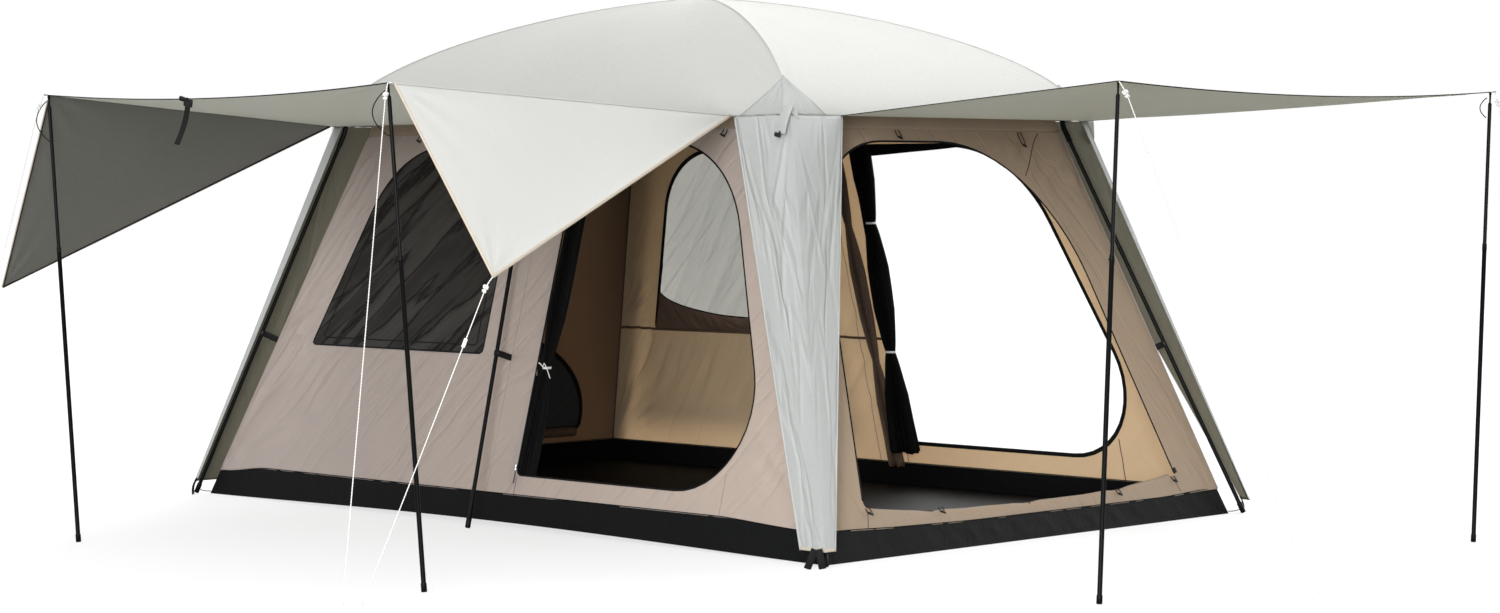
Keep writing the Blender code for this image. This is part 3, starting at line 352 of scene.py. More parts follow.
def make_finishes():
    """Every finish of the tent, in linear colour."""
    fly, fly_other = (0.700, 0.701, 0.670), (0.655, 0.657, 0.628)
    olive, grey = (0.690, 0.685, 0.600), (0.680, 0.684, 0.650)
    # name, tone, other tone, roughness, light through, its colour, sheen, crush, gloss, wrinkle
    for name, *rest in (
            ("fly_cloth", fly, fly_other, 0.72, 0.32, olive, 0.05, 0.30, 0.3, (0.3, 0.0012)),
            ("fly_lining", (0.125, 0.126, 0.121), (0.106, 0.107, 0.102), 0.42, 0.23, grey, 0.20),
            # painted light: the awnings' undersides are the fly's lining drawn paler, the front one most, for
            # the light that falls on them
            ("side_lining", (0.220, 0.217, 0.176), (0.190, 0.187, 0.151), 0.38, 0.42, olive, 0.30),
            ("front_lining", (0.380, 0.383, 0.370), (0.335, 0.338, 0.326), 0.40, 0.66, grey, 0.30),
            ("flap_lining", (0.150, 0.140, 0.104), (0.112, 0.105, 0.078), 0.55, 0.22, olive, 0.10, 0.35, 0.2,
             (-0.6, 0.006)),
            ("rear_cloth", fly, fly_other, 0.72, 0.66, (0.760, 0.762, 0.730), 0.05, 0.35, 0.3, (-0.7, 0.008)),
            ("flap_cloth", (0.560, 0.574, 0.566), (0.505, 0.520, 0.512), 0.68, 0.22, olive, 0.10, 0.25, 0.3,
             (0.10, 0.0090)),
            ("gusset_cloth", (0.500, 0.514, 0.503), (0.445, 0.459, 0.448), 0.68, 0.16, olive, 0.10)):
        cloth_finish(name, *rest[:2], THREAD_FLY, *rest[2:])
    for name, *rest in (
            ("wall_cloth", (0.630, 0.556, 0.524), (0.570, 0.500, 0.470), 0.82, 0.42,
             (0.650, 0.535, 0.420), 0.05, 0.30, 0.2, (-0.75, 0.0060)),
            # painted shade: the wide door's end is the same wall cloth, drawn warmer and darker for the light
            # that reaches it through the side awning
            ("end_wall_warm_shade_cloth", (0.580, 0.476, 0.368), (0.520, 0.424, 0.326), 0.82, 0.46,
             (0.640, 0.460, 0.290), 0.05, 0.30, 0.2, (0.45, 0.0050)),
            # painted light: the walls' inner face is the same cloth, drawn brighter and warmer for the light
            # that comes through the walls
            ("wall_inside_painted_light", (0.700, 0.602, 0.455), (0.640, 0.550, 0.412), 0.82, 0.58,
             (0.820, 0.675, 0.475), 0.05, 0.30, 0.2, (0.70, 0.0030)),
            # painted shade: the sleeping end's inner face is the same cloth, drawn dark brown for the shade
            # that falls on it inside
            ("sleep_end_inside_painted_shade", (0.200, 0.138, 0.092), (0.165, 0.112, 0.074), 0.82, 0.18,
             (0.420, 0.270, 0.165), 0.05, 0.30, 0.2, (0.20, 0.0030)),
            ("ceiling_cloth", (0.600, 0.510, 0.400), (0.540, 0.455, 0.355), 0.85, 0.58,
             (0.720, 0.590, 0.450)),
            ("pocket_cloth", (0.190, 0.132, 0.098), (0.140, 0.096, 0.070), 0.85, 0.20,
             (0.300, 0.180, 0.110), 0.0, 0.5, 0.2, (1.2, 0.008))):
        cloth_finish(name, *rest[:2], THREAD_WALL, *rest[2:])
    for name, *rest in (
            ("tub_cloth", (0.0080, 0.0083, 0.0086), (0.0055, 0.0057, 0.0059), 0.66, 0.0, None, 0.0, 0.6,
             0.06),
            ("trim_cloth", (0.560, 0.490, 0.400), (0.500, 0.430, 0.350), 0.80),
            ("seam_cloth", (0.360, 0.300, 0.250), (0.320, 0.265, 0.220), 0.80),
            ("seam_tape", (0.110, 0.070, 0.046), (0.085, 0.054, 0.036), 0.80),
            ("white_tape", (0.800, 0.800, 0.780), (0.740, 0.740, 0.720), 0.75)):
        cloth_finish(name, *rest[:2], THREAD_TRIM, *rest[2:])
    # name, tone, paler tone of painted light across the folds, painted shade tone along the creases, share of
    # the view that the net covers, creases' direction
    for name, tone, other, line, cover, creases in (
            ("net_dense", (0.020, 0.019, 0.018), (0.052, 0.049, 0.046), 0.006, 0.93, -0.88),
            ("net_vent", (0.0025, 0.0025, 0.0025), (0.005, 0.005, 0.005), 0.001, 0.996, 0.70),
            ("net_open", (0.045, 0.045, 0.041), (0.150, 0.148, 0.139), 0.010, 0.45, 0.74),
            ("net_gathered", (0.0025, 0.0025, 0.0025), (0.006, 0.006, 0.006), 0.002, 0.985, 0.0)):
        net_finish(name, tone, other, (line, line, line), cover, creases)
    hard_finish("pole_paint", (0.003, 0.003, 0.0034), 0.40, 0.0, 0.10)
    hard_finish("black_plastic", (0.008, 0.008, 0.009), 0.50, 0.0, 0.3)
    hard_finish("white_plastic", (0.720, 0.720, 0.700), 0.40)
    hard_finish("bare_steel", (0.480, 0.480, 0.470), 0.30, 1.0)
    # each band's second tone is painted shade in the grooves between its ribs
    band_finish("webbing", (0.012, 0.012, 0.013), (0.004, 0.004, 0.004), 0.0022)
    band_finish("zip_tape", (0.006, 0.006, 0.006), (0.003, 0.003, 0.003), 0.0030)
    band_finish("white_rope", (0.900, 0.900, 0.880), (0.640, 0.640, 0.620), 0.0120)
    band_finish("black_cord", (0.010, 0.010, 0.010), (0.004, 0.004, 0.004), 0.0040)


# Meshes from grids

def grid(across, along):
    """Two parameters from 0 to 1 over a grid, the first along the first axis."""
    return np.meshgrid(np.linspace(0, 1, across + 1), np.linspace(0, 1, along + 1), indexing="ij")


def run_along(path):
    """Length from a line's first point to each of its points."""
    return np.concatenate([[0], np.cumsum(np.linalg.norm(np.diff(path, axis=0), axis=1))])


def spread_uv(first, second):
    """UV of a grid from its two lengths, in metres."""
    return np.stack(np.meshgrid(first, second, indexing="ij"), -1)


def measured(points):
    """A grid's own lengths as its UV, in metres, along its middle lines."""
    return spread_uv(run_along(points[:, points.shape[1] // 2]), run_along(points[points.shape[0] // 2]))


def piece(name, finish, patches, body="tent", stands_for=(), thick=0.0, sharp=None, lining=None,
          outside=None):
    """One object from grids of points, each with its own UV; touching edges are merged.

    Faces join each point (i, j) to (i + 1, j), (i + 1, j + 1) and (i, j + 1). A lining shows on the side
    away from outside."""
    corners, faces, maps, base = [], [], [], 0
    for patch in patches:
        points, uv = patch if isinstance(patch, tuple) else (patch, measured(patch))
        nu, nv = points.shape[:2]
        i, j = np.meshgrid(np.arange(nu - 1), np.arange(nv - 1), indexing="ij")
        first = (i * nv + j).ravel()
        quad = np.stack([first, first + nv, first + nv + 1, first + 1], -1)
        corners.append(points.reshape(-1, 3))
        maps.append(uv.reshape(-1, 2)[quad.ravel()])
        faces.append(quad + base)
        base += nu * nv
    mesh = bpy.data.meshes.new(name)
    mesh.from_pydata(np.concatenate(corners).tolist(), [], np.concatenate(faces).tolist())
    layer = mesh.uv_layers.new(name="cloth")
    layer.data.foreach_set("uv", np.concatenate(maps).ravel().astype(np.float32))
    made = bmesh.new()
    made.from_mesh(mesh)
    bmesh.ops.remove_doubles(made, verts=made.verts, dist=2e-6)
    bmesh.ops.recalc_face_normals(made, faces=made.faces)
    made.to_mesh(mesh)
    made.free()
    if outside is not None:
        count = len(mesh.polygons)
        normals, areas = np.empty(3 * count), np.empty(count)
        mesh.polygons.foreach_get("normal", normals)
        mesh.polygons.foreach_get("area", areas)
        if (normals.reshape(-1, 3) * areas[:, None]).sum(axis=0) @ vec(*outside) < 0:
            mesh.flip_normals()
    mesh.shade_smooth()
    if sharp:
        mesh.set_sharp_from_angle(angle=np.radians(sharp))
    mesh.materials.append(FINISHES[finish])
    out = bpy.data.objects.new(name, mesh)
    bpy.context.scene.collection.objects.link(out)
    if thick:
        wall = out.modifiers.new("thickness", "SOLIDIFY")
        wall.thickness = thick
        wall.offset = 0.0
        if lining:
            mesh.materials.append(FINISHES[lining])
            wall.material_offset = 1
    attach(out, body)
    if stands_for:
        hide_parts(*stands_for)
    return out


def spaced(path, count):
    """A polyline's points again, count of them, evenly spaced along it."""
    path = np.asarray(path, float)
    run = run_along(path)
    at = np.linspace(0, run[-1], count)
    return np.stack([np.interp(at, run, path[:, k]) for k in range(path.shape[1])], -1)


def sweep(path, profile, up):
    """A profile carried along a path: its x lies along the path's side and its y along up.

    profile is (points, 2), or (path, points, 2) where it changes on the way; its last point joins
    its first. The ends close on the path's own end points."""
    path = np.asarray(path, float)
    ahead = unit(np.gradient(path, axis=0))
    up = np.broadcast_to(np.asarray(up, float), path.shape)
    side = unit(np.cross(ahead, up))
    over = np.cross(side, ahead)
    profile = np.asarray(profile, float)
    if profile.ndim == 2:
        profile = np.broadcast_to(profile, (len(path), *profile.shape))
    profile = np.concatenate([profile, profile[:, :1]], axis=1)
    points = (path[:, None] + profile[..., :1] * side[:, None] + profile[..., 1:] * over[:, None])
    uv = spread_uv(run_along(path), run_along(profile[len(path) // 2]))[..., ::-1]
    ends = [np.broadcast_to(path[k], points[k].shape)[None] for k in (0, -1)]
    return np.concatenate([ends[0], points, ends[1]]), np.concatenate([uv[:1], uv, uv[-1:]])


def ring(radius, count):
    """A circle's points."""
    angle = np.arange(count) * TAU / count
    return np.stack([radius * np.cos(angle), radius * np.sin(angle)], -1)


def hoop(centre, radius, first, second, count=25, half=np.pi):
    """A closed circle about a point in the plane of two directions, or an arc to both sides of the first."""
    first_turn, last_turn = (-half, half) if half < np.pi else (0, TAU)
    angle = np.linspace(first_turn, last_turn, count)[:, None]
    return centre + radius * (np.cos(angle) * first + np.sin(angle) * second)


def tape(width, thick):
    """A flat strip's section with rounded edges."""
    half, lip = width / 2, thick / 2
    inset = min(lip, half / 2)
    return [(-half, 0), (-half + inset, -lip), (0, -lip), (half - inset, -lip),
            (half, 0), (half - inset, lip), (0, lip), (-half + inset, lip)]


def rod(start, end, profile, count=20):
    """A turned solid on the line from start to end: profile is (distance, radius) from the start."""
    start, end = np.asarray(start, float), np.asarray(end, float)
    ahead = unit(end - start)
    side = unit(np.cross(ahead, vec(1, 0, 0) if abs(ahead[0]) < 0.9 else vec(0, 1, 0)))
    over = np.cross(side, ahead)
    profile = np.asarray([(profile[0][0], 0.0), *profile, (profile[-1][0], 0.0)], float)
    angle = np.linspace(0, TAU, count + 1)
    round_it = np.cos(angle)[:, None] * side + np.sin(angle)[:, None] * over
    points = start + profile[:, :1, None] * ahead + profile[:, 1:, None] * round_it
    return points, spread_uv(run_along(profile), angle * profile[:, 1].max())


def tube(path, radius, up=(0, 0, 1), count=12):
    """A round tube along a path."""
    return sweep(path, ring(radius, count), up)


def strip(name, finish, path, width, thick, up=(0, 0, 1), **more):
    """One object: a flat strip along a path, with its face towards up."""
    return piece(name, finish, [sweep(path, tape(width, thick), up)], **more)


def cord(name, finish, path, radius, up=(0, 0, 1), count=8):
    """One object: a round cord along a path."""
    return piece(name, finish, [tube(path, radius, up, count)])


def box(centre, axes, size):
    """A block with rounded edges: a superellipsoid of that size along three axes."""
    u, v = grid(16, 10)
    angle, lift = (u - 0.5) * TAU, (v - 0.5) * np.pi

    def power(value, share=0.3):
        return np.sign(value) * np.abs(value) ** share

    shape = np.stack([power(np.cos(lift)) * power(np.cos(angle)), power(np.cos(lift)) * power(np.sin(angle)),
                      power(np.sin(lift))], -1) * np.asarray(size) / 2
    return np.asarray(centre) + shape @ np.asarray(axes, float)


def drift(x, y, scale, seed):
    """A slow random wander: five sines with seeded directions, lengths and phases."""
    rng = np.random.default_rng(seed)
    total = 0.0
    for _ in range(5):
        turn, length, phase = rng.uniform(0, TAU), scale * rng.uniform(0.6, 1.7), rng.uniform(0, TAU)
        total = total + np.sin(TAU / length * (x * np.cos(turn) + y * np.sin(turn)) + phase)
    return total / 5


def step(value, low, high):
    """Smooth step from 0 at low to 1 at high."""
    share = np.clip((value - low) / (high - low), 0, 1)
    return share * share * (3 - 2 * share)


def pulls(x, y, turn, apart, seed, sharp=3.0):
    """Parallel tension folds: narrow crests along one direction, apart from each other, wandering."""
    across = x * np.cos(turn) + y * np.sin(turn)
    along = -x * np.sin(turn) + y * np.cos(turn)
    wander = 0.35 * drift(across, 0.45 * along, 4 * apart, seed)
    crest = 0.5 + 0.5 * np.sin(TAU * (across / apart + wander))
    return crest ** sharp * (0.55 + 0.45 * drift(x, y, 3 * apart, seed + 1))


def crease(x, y, start, end, width, depth):
    """One fold from start to end that fades at both: a bell across it."""
    start, end = vec(*start), vec(*end)
    line = end - start
    length = np.hypot(*line)
    along = ((x - start[0]) * line[0] + (y - start[1]) * line[1]) / length ** 2
    off = ((x - start[0]) * line[1] - (y - start[1]) * line[0]) / length
    return depth * np.exp(-(off / width) ** 2) * step(along, -0.05, 0.15) * (1 - step(along, 0.75, 1.05))


def rays(x, y, centre, count, turn, spread, reach, seed):
    """Folds that fan out from a point: crests at even angles about one direction, which rise just off the
    point and fade with the distance."""
    off_x, off_y = x - centre[0], y - centre[1]
    far = np.hypot(off_x, off_y)
    angle = np.arctan2(off_y, off_x) - turn
    angle = (angle + np.pi) % TAU - np.pi
    crest = (0.5 + 0.5 * np.sin(count * (angle + 0.05 * drift(far, angle, 0.5, seed)) + seed)) ** 2.2
    uneven = 0.6 + 0.4 * np.sin(2.3 * angle * count / 6 + 2 * seed)
    fade = np.exp(-(angle / spread) ** 2) * step(far, 0.02, 0.22) * np.exp(-(far / reach) ** 2)
    return crest * uneven * fade


# Inner tent

SIDES = {
    "front": (vec(0, -HALF_W, 0), vec(1, 0, 0), HALF_W - EAVE_Y, HALF_L, EAVE_X),
    "door_end": (vec(HALF_L, 0, 0), vec(0, 1, 0), HALF_L - EAVE_X, HALF_W, EAVE_Y),
    "back": (vec(0, HALF_W, 0), vec(-1, 0, 0), HALF_W - EAVE_Y, HALF_L, EAVE_X),
    "sleep_end": (vec(-HALF_L, 0, 0), vec(0, -1, 0), HALF_L - EAVE_X, HALF_W, EAVE_Y),
}


def on_wall(side, x, z, lift=0.0):
    """Points of a wall: x across it, z the height, lift outwards from its plane."""
    origin, across, lean, _, _ = SIDES[side]
    outwards = np.cross(across, UP)
    x, z, lift = np.broadcast_arrays(np.asarray(x, float), z, lift)
    pulled = corner_pull(side, x, z)[..., None] * (across * np.sign(x)[..., None] + outwards)
    return (origin + x[..., None] * across + z[..., None] * (UP - outwards * lean / EAVE_Z)
            + lift[..., None] * wall_normal(side) + pulled)


def corner_pull(side, x, z):
    """How far a wall is drawn out along both sides by corner c: more with height, less away from it."""
    if side not in ("door_end", "back"):
        return np.zeros_like(x)
    off = (seam_x(side, z) - (x if side == "door_end" else -x)) / CORNER_C_SPREAD
    return CORNER_C_OUT * np.clip(z / EAVE_Z, 0, 1) ** CORNER_C_BEND * np.exp(-off ** 2)


def wall_normal(side):
    """Unit normal of a wall, outwards."""
    _, across, lean, _, _ = SIDES[side]
    return unit(np.cross(across, UP) * EAVE_Z + UP * lean)


def seam_x(side, z):
    """Half width of a wall at a height."""
    _, _, _, half, top = SIDES[side]
    return half - (half - top) * z / EAVE_Z


def cross(a, b):
    """Cross product of flat vectors."""
    return a[..., 0] * b[..., 1] - a[..., 1] * b[..., 0]


def rounded(corners, steps=12):
    """A closed outline through corners (x, z, radius), each rounded by an arc of its radius."""
    outline = []
    for k, (x, z, radius) in enumerate(corners):
        here = vec(x, z)
        before = unit(vec(*corners[k - 1][:2]) - here)
        after = unit(vec(*corners[(k + 1) % len(corners)][:2]) - here)
        half = np.arccos(np.clip(before @ after, -1, 1)) / 2
        centre = here + unit(before + after) * radius / np.sin(half)
        first = here + before * radius / np.tan(half) - centre
        turn = -np.sign(cross(before, after)) * (np.pi - 2 * half) * np.linspace(0, 1, steps + 1)
        outline.append(centre + np.stack([first[0] * np.cos(turn) - first[1] * np.sin(turn),
                                          first[0] * np.sin(turn) + first[1] * np.cos(turn)], -1))
    outline = np.concatenate(outline)
    return np.concatenate([outline, outline[:1]])


def door_outline(sign=1):
    """The D-shaped door; the back one is cut a little wider and lower."""
    sill, foot_x, slant = FRONT_DOOR if sign > 0 else BACK_DOOR
    top_x = foot_x - slant * (DOOR_TOP_Z - sill)
    return rounded([(DOOR_EDGE_X, sill, 0.03), (foot_x, sill, 0.38), (top_x, DOOR_TOP_Z, 0.60),
                    (DOOR_EDGE_X, DOOR_TOP_Z, 0.03)]) * (sign, 1)


def window_outline(sign=1):
    """The fin-shaped window."""
    top_x = WINDOW_OUTER_X - WINDOW_SLANT * (WINDOW_TOP_Z - WINDOW_LOW_Z)
    return rounded([(-WINDOW_INNER_X, WINDOW_LOW_Z, 0.02), (-WINDOW_INNER_X, WINDOW_TOP_Z, 0.02),
                    (-top_x, WINDOW_TOP_Z, 0.50), (-WINDOW_OUTER_X, WINDOW_LOW_Z, 0.012)]) * (sign, 1)


def sill_drop(y):
    """How far the wide door's sill sags at y, from nothing at its ends."""
    return SILL_SAG * (1 - np.clip(abs(y) / END_DOOR_Y, 0, 1) ** 3)


def end_door_outline():
    """The wide door of the +X end, whose sill sags."""
    top_y = END_DOOR_Y - END_SLANT * (DOOR_TOP_Z - END_SILL_Z)
    shape = spaced(rounded([(-END_DOOR_Y, END_SILL_Z, 0.03), (END_DOOR_Y, END_SILL_Z, 0.005),
                            (top_y, DOOR_TOP_Z, 0.78), (-top_y, DOOR_TOP_Z, 0.55)]), 500)
    shape[:, 1] -= sill_drop(shape[:, 0]) * (1 - step(shape[:, 1], 0.205, 0.30))
    shape[-1] = shape[0]
    return shape


def vent_outline():
    """The low half-moon vent of the sleeping end."""
    angle = np.linspace(0, np.pi, 49)
    arch = np.stack([VENT_HALF * np.cos(angle), END_SILL_Z + VENT_RISE * np.sin(angle)], -1)
    return np.concatenate([arch, spaced([arch[-1], arch[0]], 20)[1:]])


def cell(outline, edge, centre, count, rows):
    """From an opening's outline out to the edge of its cell: each point runs on away from centre."""
    inner = spaced(outline, count + 1)
    ahead = inner - centre
    edge = np.asarray(edge, float)
    along = (np.roll(edge, -1, axis=0) - edge)[None]
    lean = cross(ahead[:, None], along)
    lean = np.where(abs(lean) < 1e-9, 1e-9, lean)
    reach = cross(edge[None] - centre, along) / lean
    share = cross(edge[None] - centre, ahead[:, None]) / lean
    hit = np.where((reach > 0) & (share > -1e-6) & (share < 1 + 1e-6), reach, np.inf).min(axis=1)
    outer = centre + ahead * hit[:, None]
    for corner in edge:
        outer[np.linalg.norm(outer - corner, axis=1).argmin()] = corner
    outer[-1] = outer[0]
    v = np.linspace(0, 1, rows + 1)[None, :, None]
    return inner[:, None] * (1 - v) + outer[:, None] * v


def strip_rise(side, x):
    """How far the tub's upper and lower edge stand above their level lines, from corner to corner."""
    x = np.asarray(x, float)
    if side == "front":
        upper = 0.031 * step(x, -2.12, -1.75) * (1 - step(x, 1.5, 2.1)) + 0.008 * step(x, 1.6, 2.1)
        return upper, 0.024 * np.clip(np.cos(np.pi * x / (2 * HALF_L)), 0, 1) ** 1.3
    if side == "door_end":
        upper = 0.008 * (1 - step(x, -1.30, -0.90)) - 0.012 * step(x, -1.2, -0.3) * (1 - step(x, 0.9, 1.3))
        return upper, 0 * x
    return 0 * x, 0 * x


def edge_of(side, left=None, right=None):
    """A wall's cell from the tub's strip to the eave, between its corner seams or a given x."""
    low, high = TUB_HEIGHT - 0.004, EAVE_Z
    first = -seam_x(side, low) if left is None else left
    last = seam_x(side, low) if right is None else right
    foot = np.linspace(first, last, 24)
    foot = np.stack([foot, low + strip_rise(side, foot)[0]], -1)
    return [*foot.tolist(), (seam_x(side, high) if right is None else right, high),
            (-seam_x(side, high) if left is None else left, high)]


def near_edge(side, x, z):
    """1 over the open wall, falling to 0 along the tub, the eave and the corner seams."""
    return (step(z, TUB_HEIGHT + 0.02, TUB_HEIGHT + 0.09) * (1 - step(z, EAVE_Z - 0.10, EAVE_Z))
            * step(seam_x(side, z) - abs(x), 0.0, 0.05))


def wall_relief(side, x, z):
    """Folds of a wall: pulls from its pegged corners and the slack between its seams."""
    slack = 0.0030 * drift(x, z, 0.55, 3) + 0.0012 * drift(x, z, 0.16, 4)
    if side in ("front", "back"):
        at = x if side == "front" else -x
        sleeping = step(-at, 0.0, 0.5)
        turn = 2.50 if side == "front" else 0.62
        left = 0.0120 * pulls(x, z, turn, 0.100, 11, 2.0) + 0.006 * pulls(x, z, turn + 0.15, 0.055, 12)
        slack = slack + left * sleeping * (0.40 + 0.60 * step(-at, 0.9, 1.6)) * step(z, 0.2, 0.5)
        slack = slack + 0.046 * rays(at, z, (-2.13, 0.10), 36, 0.85, 0.42, 0.80, 13)
        slack = slack + 0.038 * rays(at, z, (-1.86, 0.78), 32, 0.75, 0.55, 0.55, 14)
        slack = slack + 0.015 * rays(at, z, (2.13, 0.10), 27, 2.25, 0.45, 0.60, 15)
        slack = slack + 0.004 * pulls(x, z, 2.75, 0.10, 21) * step(at, 1.2, 1.6)
        low_end = step(at, 1.25, 1.75) * (1 - step(z, 0.25, 0.6))
        slack = slack + 0.006 * pulls(at, z, 3.93, 0.085, 22) * low_end
    if side == "back":
        slack = slack + 0.015 * pulls(x, z, 0.70, 0.14, 16, 3.0) * step(z, 0.2, 0.5)
    if side == "door_end":
        slack = slack + 0.0040 * pulls(x, z, 0.35 * np.pi, 0.11, 31) * step(abs(x), 0.9, 1.2)
        slack = slack + 0.0220 * pulls(x, z, -0.64, 0.11, 32, 3.0) * step(z, 1.45, 1.66)
        slack = slack + 0.0060 * rays(x, z, (1.35, 0.12), 30, 1.85, 0.30, 0.9, 33)
    if side == "sleep_end":
        slack = slack + 0.007 * pulls(x, z, -0.9, 0.12, 41, 2.0)
    return slack * near_edge(side, x, z)


OPENINGS = {        # each with its outline, a point inside it, and the x of the seams to its left and right
    "front": [(door_outline(1), (0.85, 1.0), MIDDLE_SEAM_X, None),
              (window_outline(1), WINDOW_MIDDLE, None, MIDDLE_SEAM_X)],
    "back": [(door_outline(-1), (-0.85, 1.0), None, -MIDDLE_SEAM_X),
             (window_outline(-1), (-WINDOW_MIDDLE[0], WINDOW_MIDDLE[1]), -MIDDLE_SEAM_X, None)],
    "door_end": [(end_door_outline(), (0.0, 0.9), None, None)],
    "sleep_end": [(vent_outline(), (0.0, 0.40), None, None)],
}


def wall_lift(side, x, z):
    """How far a wall stands off its plane: its folds, which die away at each opening's hem."""
    x, z = np.broadcast_arrays(np.asarray(x, float), np.asarray(z, float))
    rim = np.concatenate([spaced(opening[0], 220) for opening in OPENINGS[side]])
    off = np.min(np.hypot(x[..., None] - rim[:, 0], z[..., None] - rim[:, 1]), axis=-1)
    return wall_relief(side, x, z) * step(off, WALL_HEM, WALL_EASE)


def ribbon(name, finish, side, path, width, thick=0.0012, lift=0.0, count=None):
    """A tape sewn on a wall along a path (x, z), where the wall's folds take it."""
    path = spaced(path, count or max(8, int(np.ptp(path, axis=0).sum() / 0.02)))
    x, z = path[:, 0], path[:, 1]
    line = on_wall(side, x, z, wall_lift(side, x, z) + lift)
    return strip(name, finish, line, width, thick, wall_normal(side))


def corner_line(letter, z):
    """Points of the inner tent's corner seam at heights z."""
    sx, sy = CORNERS[letter]
    share = np.asarray(z) / EAVE_Z
    line = np.stack([sx * (HALF_L - (HALF_L - EAVE_X) * share),
                     sy * (HALF_W - (HALF_W - EAVE_Y) * share), z], -1)
    if letter == "c":
        line = line + (CORNER_C_OUT * share ** CORNER_C_BEND)[..., None] * vec(1, 1, 0)
    return line


def make_walls():
    """Four walls with their openings, seams, zips and bindings."""
    for side, parts in OPENINGS.items():
        patches = []
        for outline, centre, left, right in parts:
            flat = cell(outline, edge_of(side, left, right), vec(*centre), 340, 46)
            x, z = flat[..., 0], flat[..., 1]
            patches.append((on_wall(side, x, z, wall_lift(side, x, z)), flat))
        # the wide door's end wall takes its tone of painted shade
        cloth = "end_wall_warm_shade_cloth" if side == "door_end" else "wall_cloth"
        # inner faces: painted light on the walls, painted shade at the sleeping end
        lining = "sleep_end_inside_painted_shade" if side == "sleep_end" else "wall_inside_painted_light"
        wall = piece("wall_" + side, cloth, patches, stands_for=["inner_wall_" + side], thick=WALL_CLOTH,
                     lining=lining, outside=wall_normal(side))

    for side, sign, hem, curve_x, curve in (("front", 1, 0.009, 1.488, "seam_cloth"),
                                            ("back", -1, 0.022, 1.565, "seam_tape")):
        foot_z = TUB_HEIGHT + strip_rise(side, vec(0.0))[0][0]
        sill_z = WINDOW_LOW_Z - 0.005
        ribbon(f"zip_{side}_door", "zip_tape", side, door_outline(sign), hem, 0.0022, count=240)
        ribbon(f"hem_{side}_window", "zip_tape", side, window_outline(sign), hem, 0.0022, count=200)
        for name, finish, x, top, width, thick in (
                ("middle", "seam_cloth", MIDDLE_SEAM_X, EAVE_Z, 0.005, 0.0026),
                ("door_foot", "seam_tape", 0.157, 0.222, 0.004, 0.0024),
                ("door_curve", curve, curve_x, 0.325, 0.006, 0.0030)):
            ribbon(f"seam_{side}_{name}", finish, side, [(sign * x, foot_z), (sign * x, top)], width, thick)
        ribbon(f"seam_{side}_sill", "seam_tape", side, [(sign * -seam_x(side, sill_z) * 0.995, sill_z),
                                                        (sign * 0.148, sill_z)], 0.014, 0.0016, -0.0030, 300)
    # the wide door's zip leaves out its sill and starts in the corner at the slider
    arch = end_door_outline()[60:]
    arch = np.concatenate([[(1.0619, 0.2055)], arch[arch[:, 1] > 0.215]])
    ribbon("zip_end_door", "zip_tape", "door_end", arch, 0.010, 0.0022, count=240)
    ribbon("hem_vent", "zip_tape", "sleep_end", vent_outline(), 0.026, 0.0022, count=160)
    for sign, key in ((-1, "left"), (1, "right")):
        mitre = [(sign * 0.795, 1.79), (sign * 0.640, 1.590)]
        ribbon(f"seam_end_mitre_{key}", "seam_tape", "door_end", mitre, 0.006, 0.0030)
        foot = [(sign * 1.068, 0.125), (sign * 1.040, 0.192)]
        ribbon(f"seam_end_foot_{key}", "seam_tape", "door_end", foot, 0.005, 0.0024)
    for letter, (sx, sy) in CORNERS.items():
        path = corner_line(letter, np.linspace(TUB_HEIGHT, EAVE_Z, 40))
        cord("corner_seam_" + letter, "wall_cloth", path, 0.0028, (sx, sy, 0), 12)
        cord("corner_tape_" + letter, "seam_tape", path - vec(sx, sy, 0) * 0.0028, 0.0030, (sx, sy, 0), 12)
    # net strip that the back door's zip leaves under its top edge
    u, v = grid(60, 6)
    x = 0.16 + 0.78 * u
    z = DOOR_TOP_Z - 0.002 - 0.052 * (1 - u) ** 0.8 * v
    hanging = on_wall("back", -x, z, -0.003 - 0.003 * np.sin(3 * np.pi * u) * v)
    made = piece("back_door_net_strip", "net_gathered", [hanging], thick=WALL_CLOTH)
    on_wall("back", -x, z)


def fan(outline, centre, count, rows):
    """An opening's own surface: rows of rings from its centre out to its outline."""
    inner = spaced(outline, count + 1)[:, None]
    v = (np.linspace(0, 1, rows + 1) ** 0.85)[None, :, None]
    return np.asarray(centre) * (1 - v) + inner * v


def net_lift(sign, x, z):
    """How far a window's net hangs in: slanting pulls and a slow wander."""
    return 0.010 * pulls(x, z, 2.45 if sign > 0 else 0.7, 0.105, 51, 2.0) + 0.004 * drift(x, z, 0.3, 52)


def make_net(name, finish, side, flat, lift, node):
    """A net over an opening, with the wrinkles that its zipped cover presses into it."""
    x, z = flat[..., 0], flat[..., 1]
    rim = np.linspace(1, 0, flat.shape[1])[None] ** 0.5
    patches = [(on_wall(side, x, z, -0.001 - lift(x, z) * rim), flat)]
    piece(name, finish, patches, stands_for=[node])


